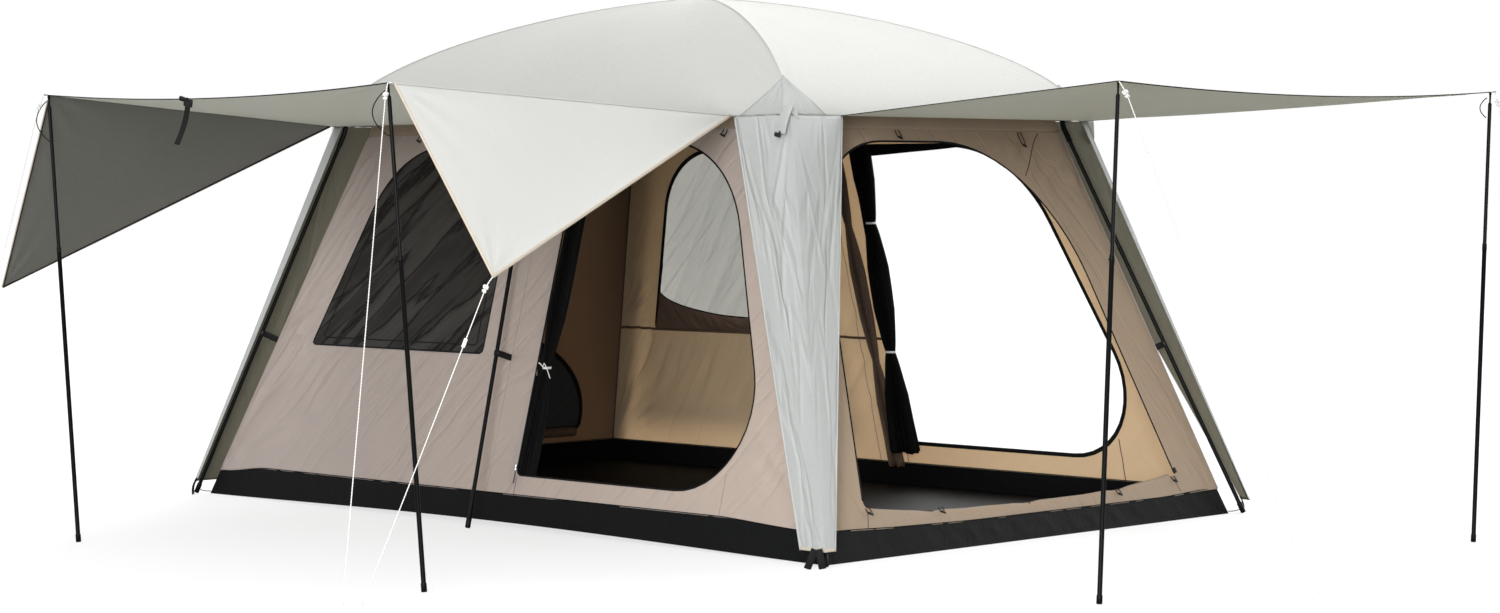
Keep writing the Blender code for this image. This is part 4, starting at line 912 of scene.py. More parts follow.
def make_nets():
    """Window and vent nets, the seam of the front window's cover, and the pockets inside the windows."""
    for side, sign, finish in (("front", 1, "net_dense"), ("back", -1, "net_open")):
        middle = vec(*WINDOW_MIDDLE) * (sign, 1)
        make_net(f"window_net_{side}", finish, side, fan(window_outline(sign), middle, 260, 60),
                 lambda x, z, sign=sign: net_lift(sign, x, z), "window_mesh_" + side)
        if side == "front":
            x, z = (middle + 0.90 * (spaced(window_outline(sign), 200) - middle)).T
            seam = on_wall(side, x, z, 0.0008 - 0.34 * net_lift(sign, x, z))
            strip("window_cover_seam", "zip_tape", seam, 0.006, 0.0014, wall_normal(side))
    make_net("vent_net", "net_vent", "sleep_end", fan(vent_outline(), (0.0, 0.45), 160, 30),
             lambda x, z: 0.008 * pulls(x, z, 1.0, 0.12, 53, 2.0), "vent_mesh_sleep_end")
    # storage pockets that hang inside the window sills
    for side, sign in (("front", 1), ("back", -1)):
        u, v = grid(120, 24)
        foot_z = WINDOW_LOW_Z + 0.002
        top = 0.985 - 0.22 * u ** 0.55 + 0.10 * u ** 2
        x = -1.553 + u * 1.296 + WINDOW_SLANT * (top - WINDOW_LOW_Z) * v * (1 - u)
        z = foot_z + (top - foot_z) * v
        belly = -0.006 - 0.030 * np.sin(np.pi * u) * np.sin(0.6 * np.pi * v) - 0.003 * drift(x, z, 0.2, 61)
        belly = belly - 0.012 * pulls(x, z, 0.35, 0.07, 62, 2.0) * np.sin(np.pi * v) * np.sin(np.pi * u)
        patches = [on_wall(side, sign * x, z, belly)]
        pocket = piece(f"pocket_{side}", "pocket_cloth", patches, thick=0.0006)
        strip(f"pocket_hem_{side}", "zip_tape", patches[0][:, -1], 0.008, 0.0020, wall_normal(side))


def make_tub():
    """Groundsheet: a floor with slight waves and a slanted strip that rises between its pegs."""
    lean_x = (HALF_L - EAVE_X) / EAVE_Z
    lean_y = (HALF_W - EAVE_Y) / EAVE_Z
    loop = np.array([(-1, -1), (1, -1), (1, 1), (-1, 1), (-1, -1)], float)
    long, short = 240, 156
    sides = []
    for k, side in enumerate(("front", "door_end", "back", "sleep_end")):
        count, reach = (long, HALF_L) if k % 2 == 0 else (short, HALF_W)
        u, v = grid(count, 12)
        corner, after = loop[k], loop[k + 1]
        at = corner + (after - corner) * u[..., None]
        upper, lower = strip_rise(side, (2 * u - 1) * reach)
        height = lower + (TUB_HEIGHT + upper - lower - FLOOR_Z) * v
        half = np.stack([HALF_L - lean_x * height, HALF_W - lean_y * height], -1)
        outwards = unit(vec(after[1] - corner[1], corner[0] - after[0]))
        run = u * 2 * reach
        free = np.sin(np.pi * np.clip(v, 0, 1)) * np.sin(np.pi * u) ** 0.4
        wave = free * (0.005 * drift(run, 0 * run, 0.5, 70 + k)
                       + 0.005 * pulls(run, v * TUB_HEIGHT, 0.5, 0.14, 75 + k))
        flat = at * half + wave[..., None] * outwards
        sides.append((np.concatenate([flat, (height + FLOOR_Z)[..., None]], -1),
                      np.stack([run, v * TUB_CUT], -1)))
        edge = np.concatenate([flat[:, -1], (height[:, -1:] + FLOOR_Z)], -1)
        cord(f"tub_seam_{k + 1}", "tub_cloth", edge, 0.0022, count=12)
    u, v = grid(long, short)
    x, y = (2 * u - 1) * HALF_L, (2 * v - 1) * HALF_W
    rim = np.minimum(step(HALF_L - abs(x), 0, 0.15), step(HALF_W - abs(y), 0, 0.15))
    z = FLOOR_Z + rim * (0.0045 + 0.0035 * drift(x, y, 0.7, 80) + 0.0025 * pulls(x, y, 0.6, 0.35, 81, 4.0))
    lifted = strip_rise("front", x)[1] * (1 - step(y + HALF_W, 0, 0.35))
    z = np.maximum(z, FLOOR_Z) + lifted
    floor = (np.stack([x, y + lean_y * lifted, z], -1), np.stack([x, y], -1))
    tub = piece("groundsheet", "tub_cloth", [*sides, floor], stands_for=["groundsheet_tub"], sharp=50)


def dome_height(share, low, high):
    """Height of crossed arches at a share of the way out to the eave."""
    return low + (high - low) * np.clip(1 - share ** DOME_FLAT, 0, None) ** DOME_ROUND


def turned(k, t):
    """Where t lies on the edge of a square of half side 1: its side k, from corner to corner."""
    return ((t, -1 + 0 * t), (1 + 0 * t, t), (-t, 1 + 0 * t), (-1 + 0 * t, -t))[k]


def dome_panel(k, half_x, half_y, low, high, count, rows, sag=0.0, posts=False):
    """One of four roof panels between two ridges: height falls with the share of the way out.

    k is 0 front, 1 wide door's end, 2 back, 3 sleeping end. The cloth sags between its poles."""
    u, v = grid(count, rows)
    t = 2 * u - 1
    share = np.sin(v * np.pi / 2)
    px, py = turned(k, t)
    x, y = px * share * half_x, py * share * half_y
    free = np.sin(np.pi * t) ** 2 if posts else 1 - t ** 2
    z = dome_height(share, low, high) - sag * free * np.sin(np.pi * np.clip(share, 0, 1)) ** 0.8
    return x, y, z, t, share


def ridge_pull(t, share, seed):
    """Puckers that run from a corner's seam into a roof panel, strongest near the eave."""
    total = 0.0
    for end in (-1, 1):
        off = 1 - end * t
        fanned = np.sin(13 * off / np.maximum(1.06 - share, 0.05) + seed + 5 * share)
        total = total + fanned * np.exp(-(off / 0.16) ** 2) * step(share, 0.72, 0.92) * step(off, 0, 0.03)
    return 0.0030 * total


def make_roofs():
    """The fly's dome, the ceiling under it, and the seams that run down their ridges."""
    patches = []
    for k in range(4):
        x, y, z, t, share = dome_panel(k, FLY_X, FLY_Y, FLY_Z, FLY_CROWN_Z, 96, 60, 0.010, k % 2 == 0)
        z = z + ridge_pull(t, share, 3 * k)
        inside = np.sin(np.pi * share) * (1 - abs(t) ** 6)
        z = z + 0.0025 * drift(x, y, 0.45, 90 + k) * inside
        if k == 0:
            z = z + crease(x, y, (0.10, -0.80), (0.28, -0.66), 0.018, 0.006)
        patches.append((np.stack([x, y, z], -1), np.stack([x, y], -1)))
    roof = piece("fly_dome", "fly_cloth", patches, stands_for=["fly_roof"], thick=WALL_CLOTH, sharp=24,
                 lining="fly_lining", outside=UP)
    patches = []
    for k in range(4):
        x, y, z, t, share = dome_panel(k, EAVE_X, EAVE_Y, EAVE_Z, INNER_CROWN_Z, 60, 36, 0.012)
        pulled = CORNER_C_OUT * np.exp(-(np.hypot(x - EAVE_X, y - EAVE_Y) / CORNER_C_SPREAD) ** 2)
        patches.append((np.stack([x + pulled, y + pulled, z], -1), np.stack([x, y], -1)))
    ceiling = piece("ceiling", "ceiling_cloth", patches, stands_for=["inner_ceiling"], thick=WALL_CLOTH,
                    sharp=30)
    share = np.sin(np.linspace(0.04, 0.985, 70) * np.pi / 2)
    for letter, (sx, sy) in CORNERS.items():
        path = np.stack([sx * share * FLY_X, sy * share * FLY_Y,
                         dome_height(share, FLY_Z, FLY_CROWN_Z) + 0.0012], -1)
        strip("ridge_seam_" + letter, "fly_cloth", path, 0.013, 0.0022)


# Fly's flaps, awnings, wings and rear panel

def fly_corner(letter):
    """A corner of the fly's eave."""
    sx, sy = CORNERS[letter]
    return vec(sx * FLY_X, sy * FLY_Y, FLY_Z)


def elbow(letter):
    """Where a corner leg meets its roof pole."""
    sx, sy = CORNERS[letter]
    share = ELBOW_NEAR if sx > 0 else ELBOW_FAR
    return vec(sx * share * FLY_X, sy * share * FLY_Y, ELBOW_Z)


def corner_foot(letter):
    """Where a corner leg stands."""
    sx, sy = CORNERS[letter]
    return vec(sx * (HALF_L + FOOT_OUT), sy * (HALF_W + FOOT_OUT), 0)


def flap_line(letter, v):
    """A corner flap's ridge, from the fly's corner to its hem, just outside the leg's foot."""
    sx, sy = CORNERS[letter]
    foot = corner_foot(letter) + (elbow(letter) - corner_foot(letter)) * 0.045 / ELBOW_Z
    foot = foot + (vec(*FLAP_C_SHIFT, 0) if letter == "c" else vec(sx, sy, 0) * FLAP_OUT)
    top = fly_corner(letter) - vec(0, 0, 0.0009)
    return top + (foot - top) * 0.990 * v[..., None]


def flap_half(letter, along, top, foot, seed):
    """Half a corner flap: straight strips out from its ridge, with slack folds and creases that pull from
    its two top corners."""
    u, v = grid(44, 130)
    sx, sy = CORNERS[letter]
    reach = (top + (foot - top) * v) * u
    run = v * 1.95
    free = np.sin(np.pi * u) ** 0.6
    wide = min(top / 0.33, 1)
    fold = 0.0050 * drift(reach * 2.2, run * 0.55, 0.5, seed) + 0.0012 * drift(reach * 2, run, 0.14, seed + 1)
    rng = np.random.default_rng(seed)
    for _ in range(7):
        outer = rng.random() < 0.5
        start = (top * (0.97 if outer else 0.03), rng.uniform(0.0, 0.05))
        end = (top * (rng.uniform(0.35, 0.75) if outer else rng.uniform(0.2, 0.6)), rng.uniform(0.20, 0.95))
        fold = fold + crease(reach, run, start, end, rng.uniform(0.007, 0.013), rng.choice([-1, 1]) * 0.0042)
    for _ in range(5):
        start = (top * rng.uniform(0.1, 0.7), rng.uniform(0.3, 1.2))
        end = (start[0] + rng.uniform(-0.05, 0.05), start[1] + rng.uniform(0.3, 0.6))
        fold = fold + crease(reach, run, start, end, 0.009, rng.choice([-1, 1]) * 0.0036)
    fold = fold + 0.0080 * crease(reach, run, (top * 0.99, 0.01), (top * 0.80, 0.30), 0.012, 1.0)
    out = vec(sx, 0, 0) if along[0] == 0 else vec(0, sy, 0)
    points = flap_line(letter, v) + reach[..., None] * along + (wide * free * fold)[..., None] * out
    return points, np.stack([reach, run], -1)


def gusset_half(panel, end, top, seed):
    """Half a gusset laid over the roof at its corner: from its ridge down to the eave, with gathers that
    fan out from the ridge."""
    u, v = grid(40, 40)
    half = FLY_X if panel % 2 == 0 else FLY_Y
    t = end * (1 - top / half * u * v)
    rise = 0.165 * (1 - v) / (FLY_CROWN_Z - FLY_Z)
    share = (1 - rise ** (1 / DOME_ROUND)) ** (1 / DOME_FLAT)
    px, py = turned(panel, t)
    gather = (0.0055 * np.sin(TAU * (3.1 * u + 0.25 * v) + seed)
              + 0.0035 * np.sin(TAU * (6.4 * u - 0.3 * v) + 2 * seed))
    loose = np.sin(np.pi * u) ** 0.7 * np.clip(4 * v * (1 - v), 0, 1) ** 0.6
    z = dome_height(share, FLY_Z, FLY_CROWN_Z) + 0.0022 + (0.007 + gather) * loose
    return np.stack([px * share * FLY_X, py * share * FLY_Y, z], -1), np.stack([u * v * top, v * 0.2], -1)


def ruched(path, letter):
    """Gathered band down a gusset's ridge: it widens towards the eave, with short puckers across it."""
    sx, sy = CORNERS[letter]
    u, v = grid(22, len(path) - 1)
    across = u - 0.5
    half = 0.012 + 0.062 * v
    pucker = 0.0065 * np.abs(np.sin(TAU * (5.5 * v + 0.35 * np.sin(5 * across)))) * (1 - (2 * across) ** 4)
    side = unit(vec(sx * FLY_Y, -sy * FLY_X, 0)) * sx * sy
    points = path[None] + (across * half)[..., None] * side
    points[..., 2] += 0.0020 + pucker - 0.75 * half * abs(across)
    return points, np.stack([across * 0.06, v * 0.2], -1)


def make_flaps():
    """Corner flaps with their ridge seam, side hems, pale foot binding and gusset over the roof's edge."""
    halves = {
        "a": [((-1, 0, 0), FLAP_TOP_LONG, FLAP_FOOT_LONG), ((0, 1, 0), FLAP_TOP_END, FLAP_FOOT_END)],
        "b": [((0, 1, 0), FLAP_TOP_END, FLAP_FOOT_LONG), ((1, 0, 0), STORM_TOP, STORM_FOOT)],
        "c": [((-1, 0, 0), FLAP_TOP_LONG, FLAP_FOOT_C), ((0, -1, 0), STORM_C_TOP, STORM_C_FOOT)],
        "d": [((1, 0, 0), FLAP_TOP_LONG, FLAP_FOOT_LONG), ((0, -1, 0), FLAP_TOP_END, FLAP_FOOT_END)],
    }
    gussets = {
        "a": ((0, 1, 0.300), (1, -1, 0.215)),
        "b": ((0, -1, 0.20), (3, 1, FLAP_TOP_END)),
        "c": ((1, 1, 0.20), (2, -1, FLAP_TOP_LONG)),
        "d": ((2, 1, FLAP_TOP_LONG), (3, -1, FLAP_TOP_END)),
    }
    for index, (letter, parts) in enumerate(halves.items()):
        sx, sy = CORNERS[letter]
        made = [flap_half(letter, vec(*along), top, foot, 17 * index + 5 * k)
                for k, (along, top, foot) in enumerate(parts)]
        outwards = (sx, sy, 0)
        flap = piece("flap_" + letter, "flap_cloth", made, stands_for=["corner_flap_" + letter],
                     thick=WALL_CLOTH, sharp=40, lining="flap_lining", outside=outwards)
        v = np.linspace(0.0, 1.0, 90)
        cord(f"flap_ridge_{letter}", "flap_cloth", flap_line(letter, v), 0.0016, outwards)
        for k, (points, _) in enumerate(made):
            strip(f"flap_hem_{letter}_{k + 1}", "flap_cloth", points[-1], (0.012, 0.008)[k], 0.0024, outwards)
        foot = np.concatenate([made[0][0][::-1, -1], made[1][0][1:, -1]])
        line = spaced(foot, 40)
        down = flap_line(letter, vec(1.0))[0] - flap_line(letter, vec(0.0))[0]
        face = unit(np.cross(np.gradient(line, axis=0), unit(down)))
        finish = "trim_cloth" if letter in "ad" else "flap_cloth"
        strip(f"flap_foot_{letter}", finish, line + UP * 0.007, 0.014, 0.0028, face)
        if letter == "c":
            # a black cord just inside flap c's ridge, that draws a dark line along it
            cord("flap_c_black_line", "zip_tape", flap_line(letter, v) - vec(*outwards) * 0.004, 0.0034, outwards)
        patches = [gusset_half(panel, end, top, 2 * index + k)
                   for k, (panel, end, top) in enumerate(gussets[letter])]
        gusset = piece("gusset_" + letter, "gusset_cloth", patches, thick=WALL_CLOTH, sharp=30)
        for k, (points, _) in enumerate(patches):
            strip(f"gusset_seam_{letter}_{k + 1}", "gusset_cloth", points[-1] + UP * 0.0012, 0.008, 0.0022)
        ruching = ruched(spaced(patches[0][0][0], 90), letter)
        piece(f"gusset_ridge_{letter}", "gusset_cloth", [ruching], thick=WALL_CLOTH)
        if letter == "b":
            continue
        # roll-up tab that hangs from the gusset's corner, with its buckle half
        bends = vec((0.004, 0.004, 0.040), (-0.002, 0.024, 0.0), (-0.012, 0.034, -0.042),
                    (-0.020, 0.038, -0.080))
        hang = spaced(fly_corner(letter) + bends * (sx, sy, 1), 20)
        wide = np.linspace(0.046, 0.070, 20)
        sections = np.stack([np.array(tape(w, 0.0024)) for w in wide])
        sections[..., 1] += 0.010 * (sections[..., 0] / 0.035) ** 2
        piece("roll_tab_" + letter, "gusset_cloth", [sweep(hang, sections, (0, sy, 0))])
        ahead = unit(hang[-1] - hang[-3])
        side = unit(np.cross(ahead, vec(0, sy, 0)))
        beside = sy * np.sign(side[0]) * sx * side
        piece("roll_buckle_" + letter, "black_plastic",
              [box(hang[-1] + ahead * 0.004 + beside * 0.018, [side, ahead, np.cross(side, ahead)],
                   (0.034, 0.030, 0.008))])


AWNINGS = {
    "front": (vec(-FLY_X, -OUT_Y, FLY_Z), vec(FLY_X - FLAP_TOP_LONG, -OUT_Y, FLY_Z), LEFT_TOP, RIGHT_TOP),
    "side": (vec(OUT_X, -FLY_Y + FLAP_TOP_END, FLY_Z), vec(OUT_X, FLY_Y, FLY_Z), NEAR_TOP, FAR_TOP),
}


def awning_point(name, u, v):
    """An awning runs from the eave (v = 0) to two pole tops (v = 1), and sags between them."""
    inner_first, inner_last, outer_first, outer_last = AWNINGS[name]
    inner = inner_first + (inner_last - inner_first) * u[..., None]
    outer = outer_first + (outer_last - outer_first) * u[..., None]
    sag = 4 * u * (1 - u) * (EDGE_SAG * v + BELLY_SAG * np.sin(np.pi * v))
    made = inner + (outer - inner) * v[..., None]
    made[..., 2] -= sag
    return made


def star(points, corner, inwards, count, reach, depth, seed):
    """Folds that fan out from a pulled corner: sines of the angle there, which fade with distance."""
    off = points - corner
    far = np.linalg.norm(off, axis=-1)
    angle = np.arctan2(off @ unit(np.cross(inwards, UP)), off @ unit(inwards))
    wave = np.sin(count * angle + seed) + 0.5 * np.sin(1.7 * count * angle + 2 * seed)
    return depth * wave * step(far, 0.03, 0.18) * np.exp(-far / reach)


def make_awnings():
    """Two awnings, their hems and the fittings along their edges."""
    for name, (inner_first, inner_last, outer_first, outer_last) in AWNINGS.items():
        u, v = grid(120, 110)
        points = awning_point(name, u, v)
        middle = (inner_first + inner_last + outer_first + outer_last) / 4
        lift = sum(star(points, corner, middle - corner, 16, 0.45, 0.0045, 3 + k)
                   for k, corner in enumerate((outer_first, outer_last)))
        lift = lift + sum(star(points, corner, middle - corner, 12, 0.35, 0.003, 6 + k)
                          for k, corner in enumerate((inner_first, inner_last)))
        lift = lift + 0.003 * drift(points[..., 0], points[..., 1], 0.6, 100)
        lift = lift * step(v, 0, 0.04) * step(1 - v, 0, 0.03) * step(u, 0, 0.03) * step(1 - u, 0, 0.03)
        points[..., 2] += lift
        # each awning's underside takes its own paler copy of the fly's lining: painted light
        cloth = piece("awning_cloth_" + name, "fly_cloth", [points], stands_for=["awning_" + name],
                      thick=WALL_CLOTH, lining=name + "_lining", outside=UP)
        line = awning_point(name, np.linspace(0, 1, 100), np.ones(100))
        strip(f"awning_hem_{name}", "black_cord", line, 0.012, 0.0040)
        # painted shade: the side awning's side hems are drawn in black cord for the shadow along its near
        # edge; the front awning's stay fly cloth
        hem = "black_cord" if name == "side" else "fly_cloth"
        for end in (0, 1):
            rail = awning_point(name, np.full(100, float(end)), np.linspace(0, 1, 100))
            strip(f"awning_side_hem_{name}_{end + 1}", hem, rail, 0.010, 0.0030)
    # roll-up strap with its buckle, on the front awning's outer edge
    top = awning_point("front", vec(0.44), vec(1.0))[0]
    t = np.linspace(0, 1, 30)
    hang = top + np.stack([-0.030 * t - 0.012 * np.sin(np.pi * t), 0.02 - 0.04 * t + 0.02 * np.sin(np.pi * t),
                           0.004 - 0.190 * t], -1)
    face = vec(0.5, -1, 0.2)
    strip("awning_strap", "webbing", hang, 0.026, 0.0024, face)
    ahead = unit(hang[4] - hang[2])
    side = unit(np.cross(ahead, face))
    axes = [side, ahead, np.cross(side, ahead)]
    prong = hang[3] + side * 0.030 - ahead * 0.010
    piece("awning_buckle", "black_plastic",
          [box(hang[3], axes, (0.040, 0.034, 0.012)), box(prong, axes, (0.028, 0.020, 0.010))])


def make_wings():
    """Triangular wings that hang from the front awning's sides, with pale binding and a dark hem."""
    for key, eave, top, tip, outwards in (
            ("left", AWNINGS["front"][0], LEFT_TOP, LEFT_TIP, vec(-1, 0, 0)),
            ("right", AWNINGS["front"][1], RIGHT_TOP, RIGHT_TIP, vec(1, 0, 0))):
        along = unit(top - eave)
        first = eave + outwards * 0.0014 + along * 0.035
        second = top + outwards * 0.0014 - along * 0.035
        u, v = grid(110, 80)
        edge = first + (second - first) * u[..., None]
        points = edge + (tip - edge) * v[..., None]
        belly = 0.03 * np.sin(np.pi * v) * np.sin(np.pi * u)
        middle = (first + second + tip) / 3
        fans = 0.0
        for k, corner in enumerate((first, second, tip)):
            off = points - corner
            far = np.linalg.norm(off, axis=-1)
            level = unit(middle - corner)
            angle = np.arctan2(off @ np.cross(level, outwards), off @ level)
            fans = fans + 0.0045 * np.sin(14 * angle + k) * step(far, 0.02, 0.15) * np.exp(-far / 0.4)
        rim = np.minimum(np.minimum(step(v, 0, 0.04), step(u, 0, 0.03)), step(1 - u, 0, 0.03))
        points = points - (belly - fans * rim)[..., None] * outwards
        wing = piece("wing_" + key, "fly_cloth", [points], stands_for=["awning_wing_" + key],
                     thick=WALL_CLOTH, lining="fly_lining", outside=outwards)
        for label, start in (("eave", first), ("pole", second)):
            line = spaced([start, tip], 60)
            strip(f"wing_binding_{key}_{label}", "trim_cloth", line + outwards * 0.0010, 0.014, 0.0026,
                  outwards)
            cord(f"wing_piping_{key}_{label}", "black_cord", line - outwards * 0.0030, 0.0030, outwards)


def make_rear():
    """The rear panel of the fly, pegged out behind the sleeping half."""
    top_in, top_out = vec(REAR_INNER_X, OUT_Y, FLY_Z), vec(-FLY_X + FLAP_TOP_LONG + 0.008, OUT_Y, FLY_Z)
    foot_in, foot_out = vec(REAR_INNER_X, *REAR_FOOT), vec(REAR_OUTER_X, *REAR_FOOT)
    u, v = grid(110, 100)
    top = top_in + (top_out - top_in) * u[..., None]
    foot = foot_in + (foot_out - foot_in) * u[..., None]
    points = top + (foot - top) * v[..., None]
    x, z = points[..., 0].copy(), points[..., 2].copy()
    points[..., 1] += 0.012 * np.sin(3 * np.pi * u) * v
    slack = 0.014 * pulls(x, z, -0.72, 0.13, 110, 4.0) + 0.004 * drift(x, z, 0.4, 111)
    points[..., 1] += slack * step(v, 0, 0.1)
    rear = piece("rear_panel", "rear_cloth", [points], stands_for=["rear_fly_panel"], thick=WALL_CLOTH)
    strip("rear_hem", "black_cord", points[:, -1], 0.014, 0.003, (0, 1, 0))
    for k in (0, -1):
        strip(f"rear_edge_{k + 2}", "black_cord", points[k], 0.012, 0.003, (0, 1, 0))


# Poles

FEET = {"front_left": (-0.79, -3.02), "front_right": (1.60, -3.02), "side_near": (3.67, -1.51),
        "side_far": (3.60, 1.16)}
BALLS = {"front_left": (-0.85456, -3.10377, 1.94164), "front_right": (1.50825, -3.10312, 1.93179),
         "side_near": (3.61976, -1.33861, 1.92292), "side_far": (3.62608, 1.23035, 1.93469)}
LOWER_LENGTH = 1.29
LEGS = (*CORNERS, "mid_front", "mid_back")


def leg_line(key):
    """Top and foot of a leg."""
    if key in CORNERS:
        return elbow(key), corner_foot(key)
    sign = -1 if key == "mid_front" else 1
    return (vec(MIDDLE_LEG_TOP_X, sign * ELBOW_NEAR * FLY_Y, ELBOW_Z),
            vec(MIDDLE_LEG_FOOT_X, sign * (HALF_W + MIDDLE_LEG_OUT), 0))


def standing(top, foot, radius):
    """Direction of a slanted tube, and its length where its foot of that radius just clears the ground."""
    long = np.linalg.norm(foot - top)
    down = (foot - top) / long
    return down, long - radius * np.sqrt(1 - down[2] ** 2) / -down[2]


def make_poles():
    """Corner and middle legs, and the awning poles with their ball, collar, lock and foot."""
    r = POLE_RADIUS
    for key in LEGS:
        top, foot = leg_line(key)
        _, end = standing(top, foot, LEG_FOOT_RADIUS)
        profile = [(0.0704, r - 0.0006), (0.0710, r), (0.62, r), (0.621, r + 0.0012), (0.66, r + 0.0012),
                   (0.661, r), (end - 0.052, r), (end - 0.051, 0.0118), (end - 0.049, 0.0123),
                   (end - 0.004, 0.0123), (end - 0.0005, 0.0100)]
        piece("leg_tube_" + key, "pole_paint", [rod(top, foot, profile, 24)], stands_for=["leg_" + key],
              sharp=35)
    ball = [(-0.006 * np.cos(a), 0.006 * np.sin(a)) for a in np.linspace(0.15, 2.3, 9)]
    for key, (x, y) in FEET.items():
        top, foot = vec(*BALLS[key]), vec(x, y, 0)
        down, end = standing(top, foot, AWNING_FOOT_RADIUS)
        split = end - LOWER_LENGTH
        tubes = {
            "upper": [*ball, (0.038, 0.0040), (0.0405, 0.0060), (0.0425, 0.0078), (0.0440, 0.0080),
                      (split + 0.080, 0.0080)],
            "lower": [(split + 0.0002, 0.00845), (split, 0.0092), (split + 0.0005, 0.0102),
                      (split + 0.030, 0.0102), (split + 0.031, r), (end - 0.035, r), (end - 0.034, 0.0112),
                      (end - 0.032, 0.0115), (end - 0.003, 0.0115), (end - 0.0003, 0.0098)]}
        for part, profile in tubes.items():
            node = f"awning_pole_{part}_{key}"
            piece(f"awning_tube_{part}_{key}", "pole_paint", [rod(top, foot, profile, 24)], body=node,
                  stands_for=[node], sharp=35)
        side = unit(np.cross(down, UP))
        at = top + down * (split + 0.016)
        button = [(0.0, 0.0036), (0.0036, 0.0036), (0.0045, 0.0026)]
        piece("pole_lock_" + key, "black_plastic",
              [rod(at + side * 0.0095, at + side * 0.0140, button, 12)], body="awning_pole_lower_" + key)


# Ropes

def rope_start(key):
    """Upper end of a rope: at an awning's corner, or just under a wing's tip."""
    top, (x, y) = ROPES[key]
    if key.startswith("wing"):
        return top + unit(vec(x, y, 0) - top) * 0.0009
    return top + unit(vec(x - top[0], y - top[1], 0)) * (ROPE_RADIUS + 0.0004)


def rope_path(key, count=60):
    """A taut rope's centre line, which stands off its pole by its eye and sags a little."""
    start, end = rope_start(key), vec(*ROPES[key][1], 2 * ROPE_RADIUS)
    share = np.linspace(0, 1, count) ** 1.15
    out = unit(vec(end[0] - start[0], end[1] - start[1], 0))
    loop = 0.012 * (1 - (1 - np.minimum(1, share / 0.04)) ** 2) * (1 - share)
    path = start + (end - start) * share[:, None] + loop[:, None] * out
    path[:, 2] -= ROPE_SAG * 4 * share * (1 - share)
    return path


def twisted(path, radius, pitch=0.016, strands=3):
    """A laid rope: round strands that wind about its line, as lobes of its section."""
    length = run_along(path)[-1]
    path = spaced(path, int(length / pitch * 5))
    run = np.linspace(0, length, len(path))
    angle = np.arange(12) * TAU / 12
    lobe = 1 - 0.10 * (1 - np.cos(strands * angle[None] - TAU * run[:, None] / pitch))
    return path, sweep(path, lobe[..., None] * ring(radius, 12), vec(0.3, 0.1, 1))


def knot(centre, along, size):
    """An overhand knot: a trefoil tube laid about the rope's line."""
    along = unit(vec(*along))
    side = unit(np.cross(along, vec(0.2, 0.5, 0.8)))
    over = np.cross(side, along)
    t = np.linspace(0, TAU, 61)
    x, y, z = np.sin(t) + 2 * np.sin(2 * t), np.cos(t) - 2 * np.cos(2 * t), -np.sin(3 * t)
    bend = (x[:, None] * side + y[:, None] * over) * 0.55 + z[:, None] * along
    return tube(vec(*centre) + size / 3 * bend, size * 0.16, over, 8)


def make_ropes():
    """Six guy ropes with an eye and knot at the top and a knot at the ground."""
    for key in ROPES:
        path, skin = twisted(rope_path(key), ROPE_RADIUS)
        rope = piece("rope_" + key, "white_rope", [skin], stands_for=["guy_rope_" + key])
        ahead = unit(path[-1] - path[-2])
        low = path[-1] - ahead * 0.012 + UP * 0.004
        extras = [piece(f"rope_knot_{key}", "white_rope", [knot(low, ahead, 0.010)])]
        eye = int(0.05 / np.linalg.norm(path[1] - path[0]))
        along = path[eye + 1] - path[eye - 1]
        extras.append(piece(f"rope_top_knot_{key}", "white_rope",
                            [knot(path[eye], along, 0.018),
                             knot(path[eye] + (path[eye + 1] - path[eye]) * 5, along, 0.014)]))
        if key == "wing_right":
            extras.append(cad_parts["rope_runner"])


# Doors' cloth

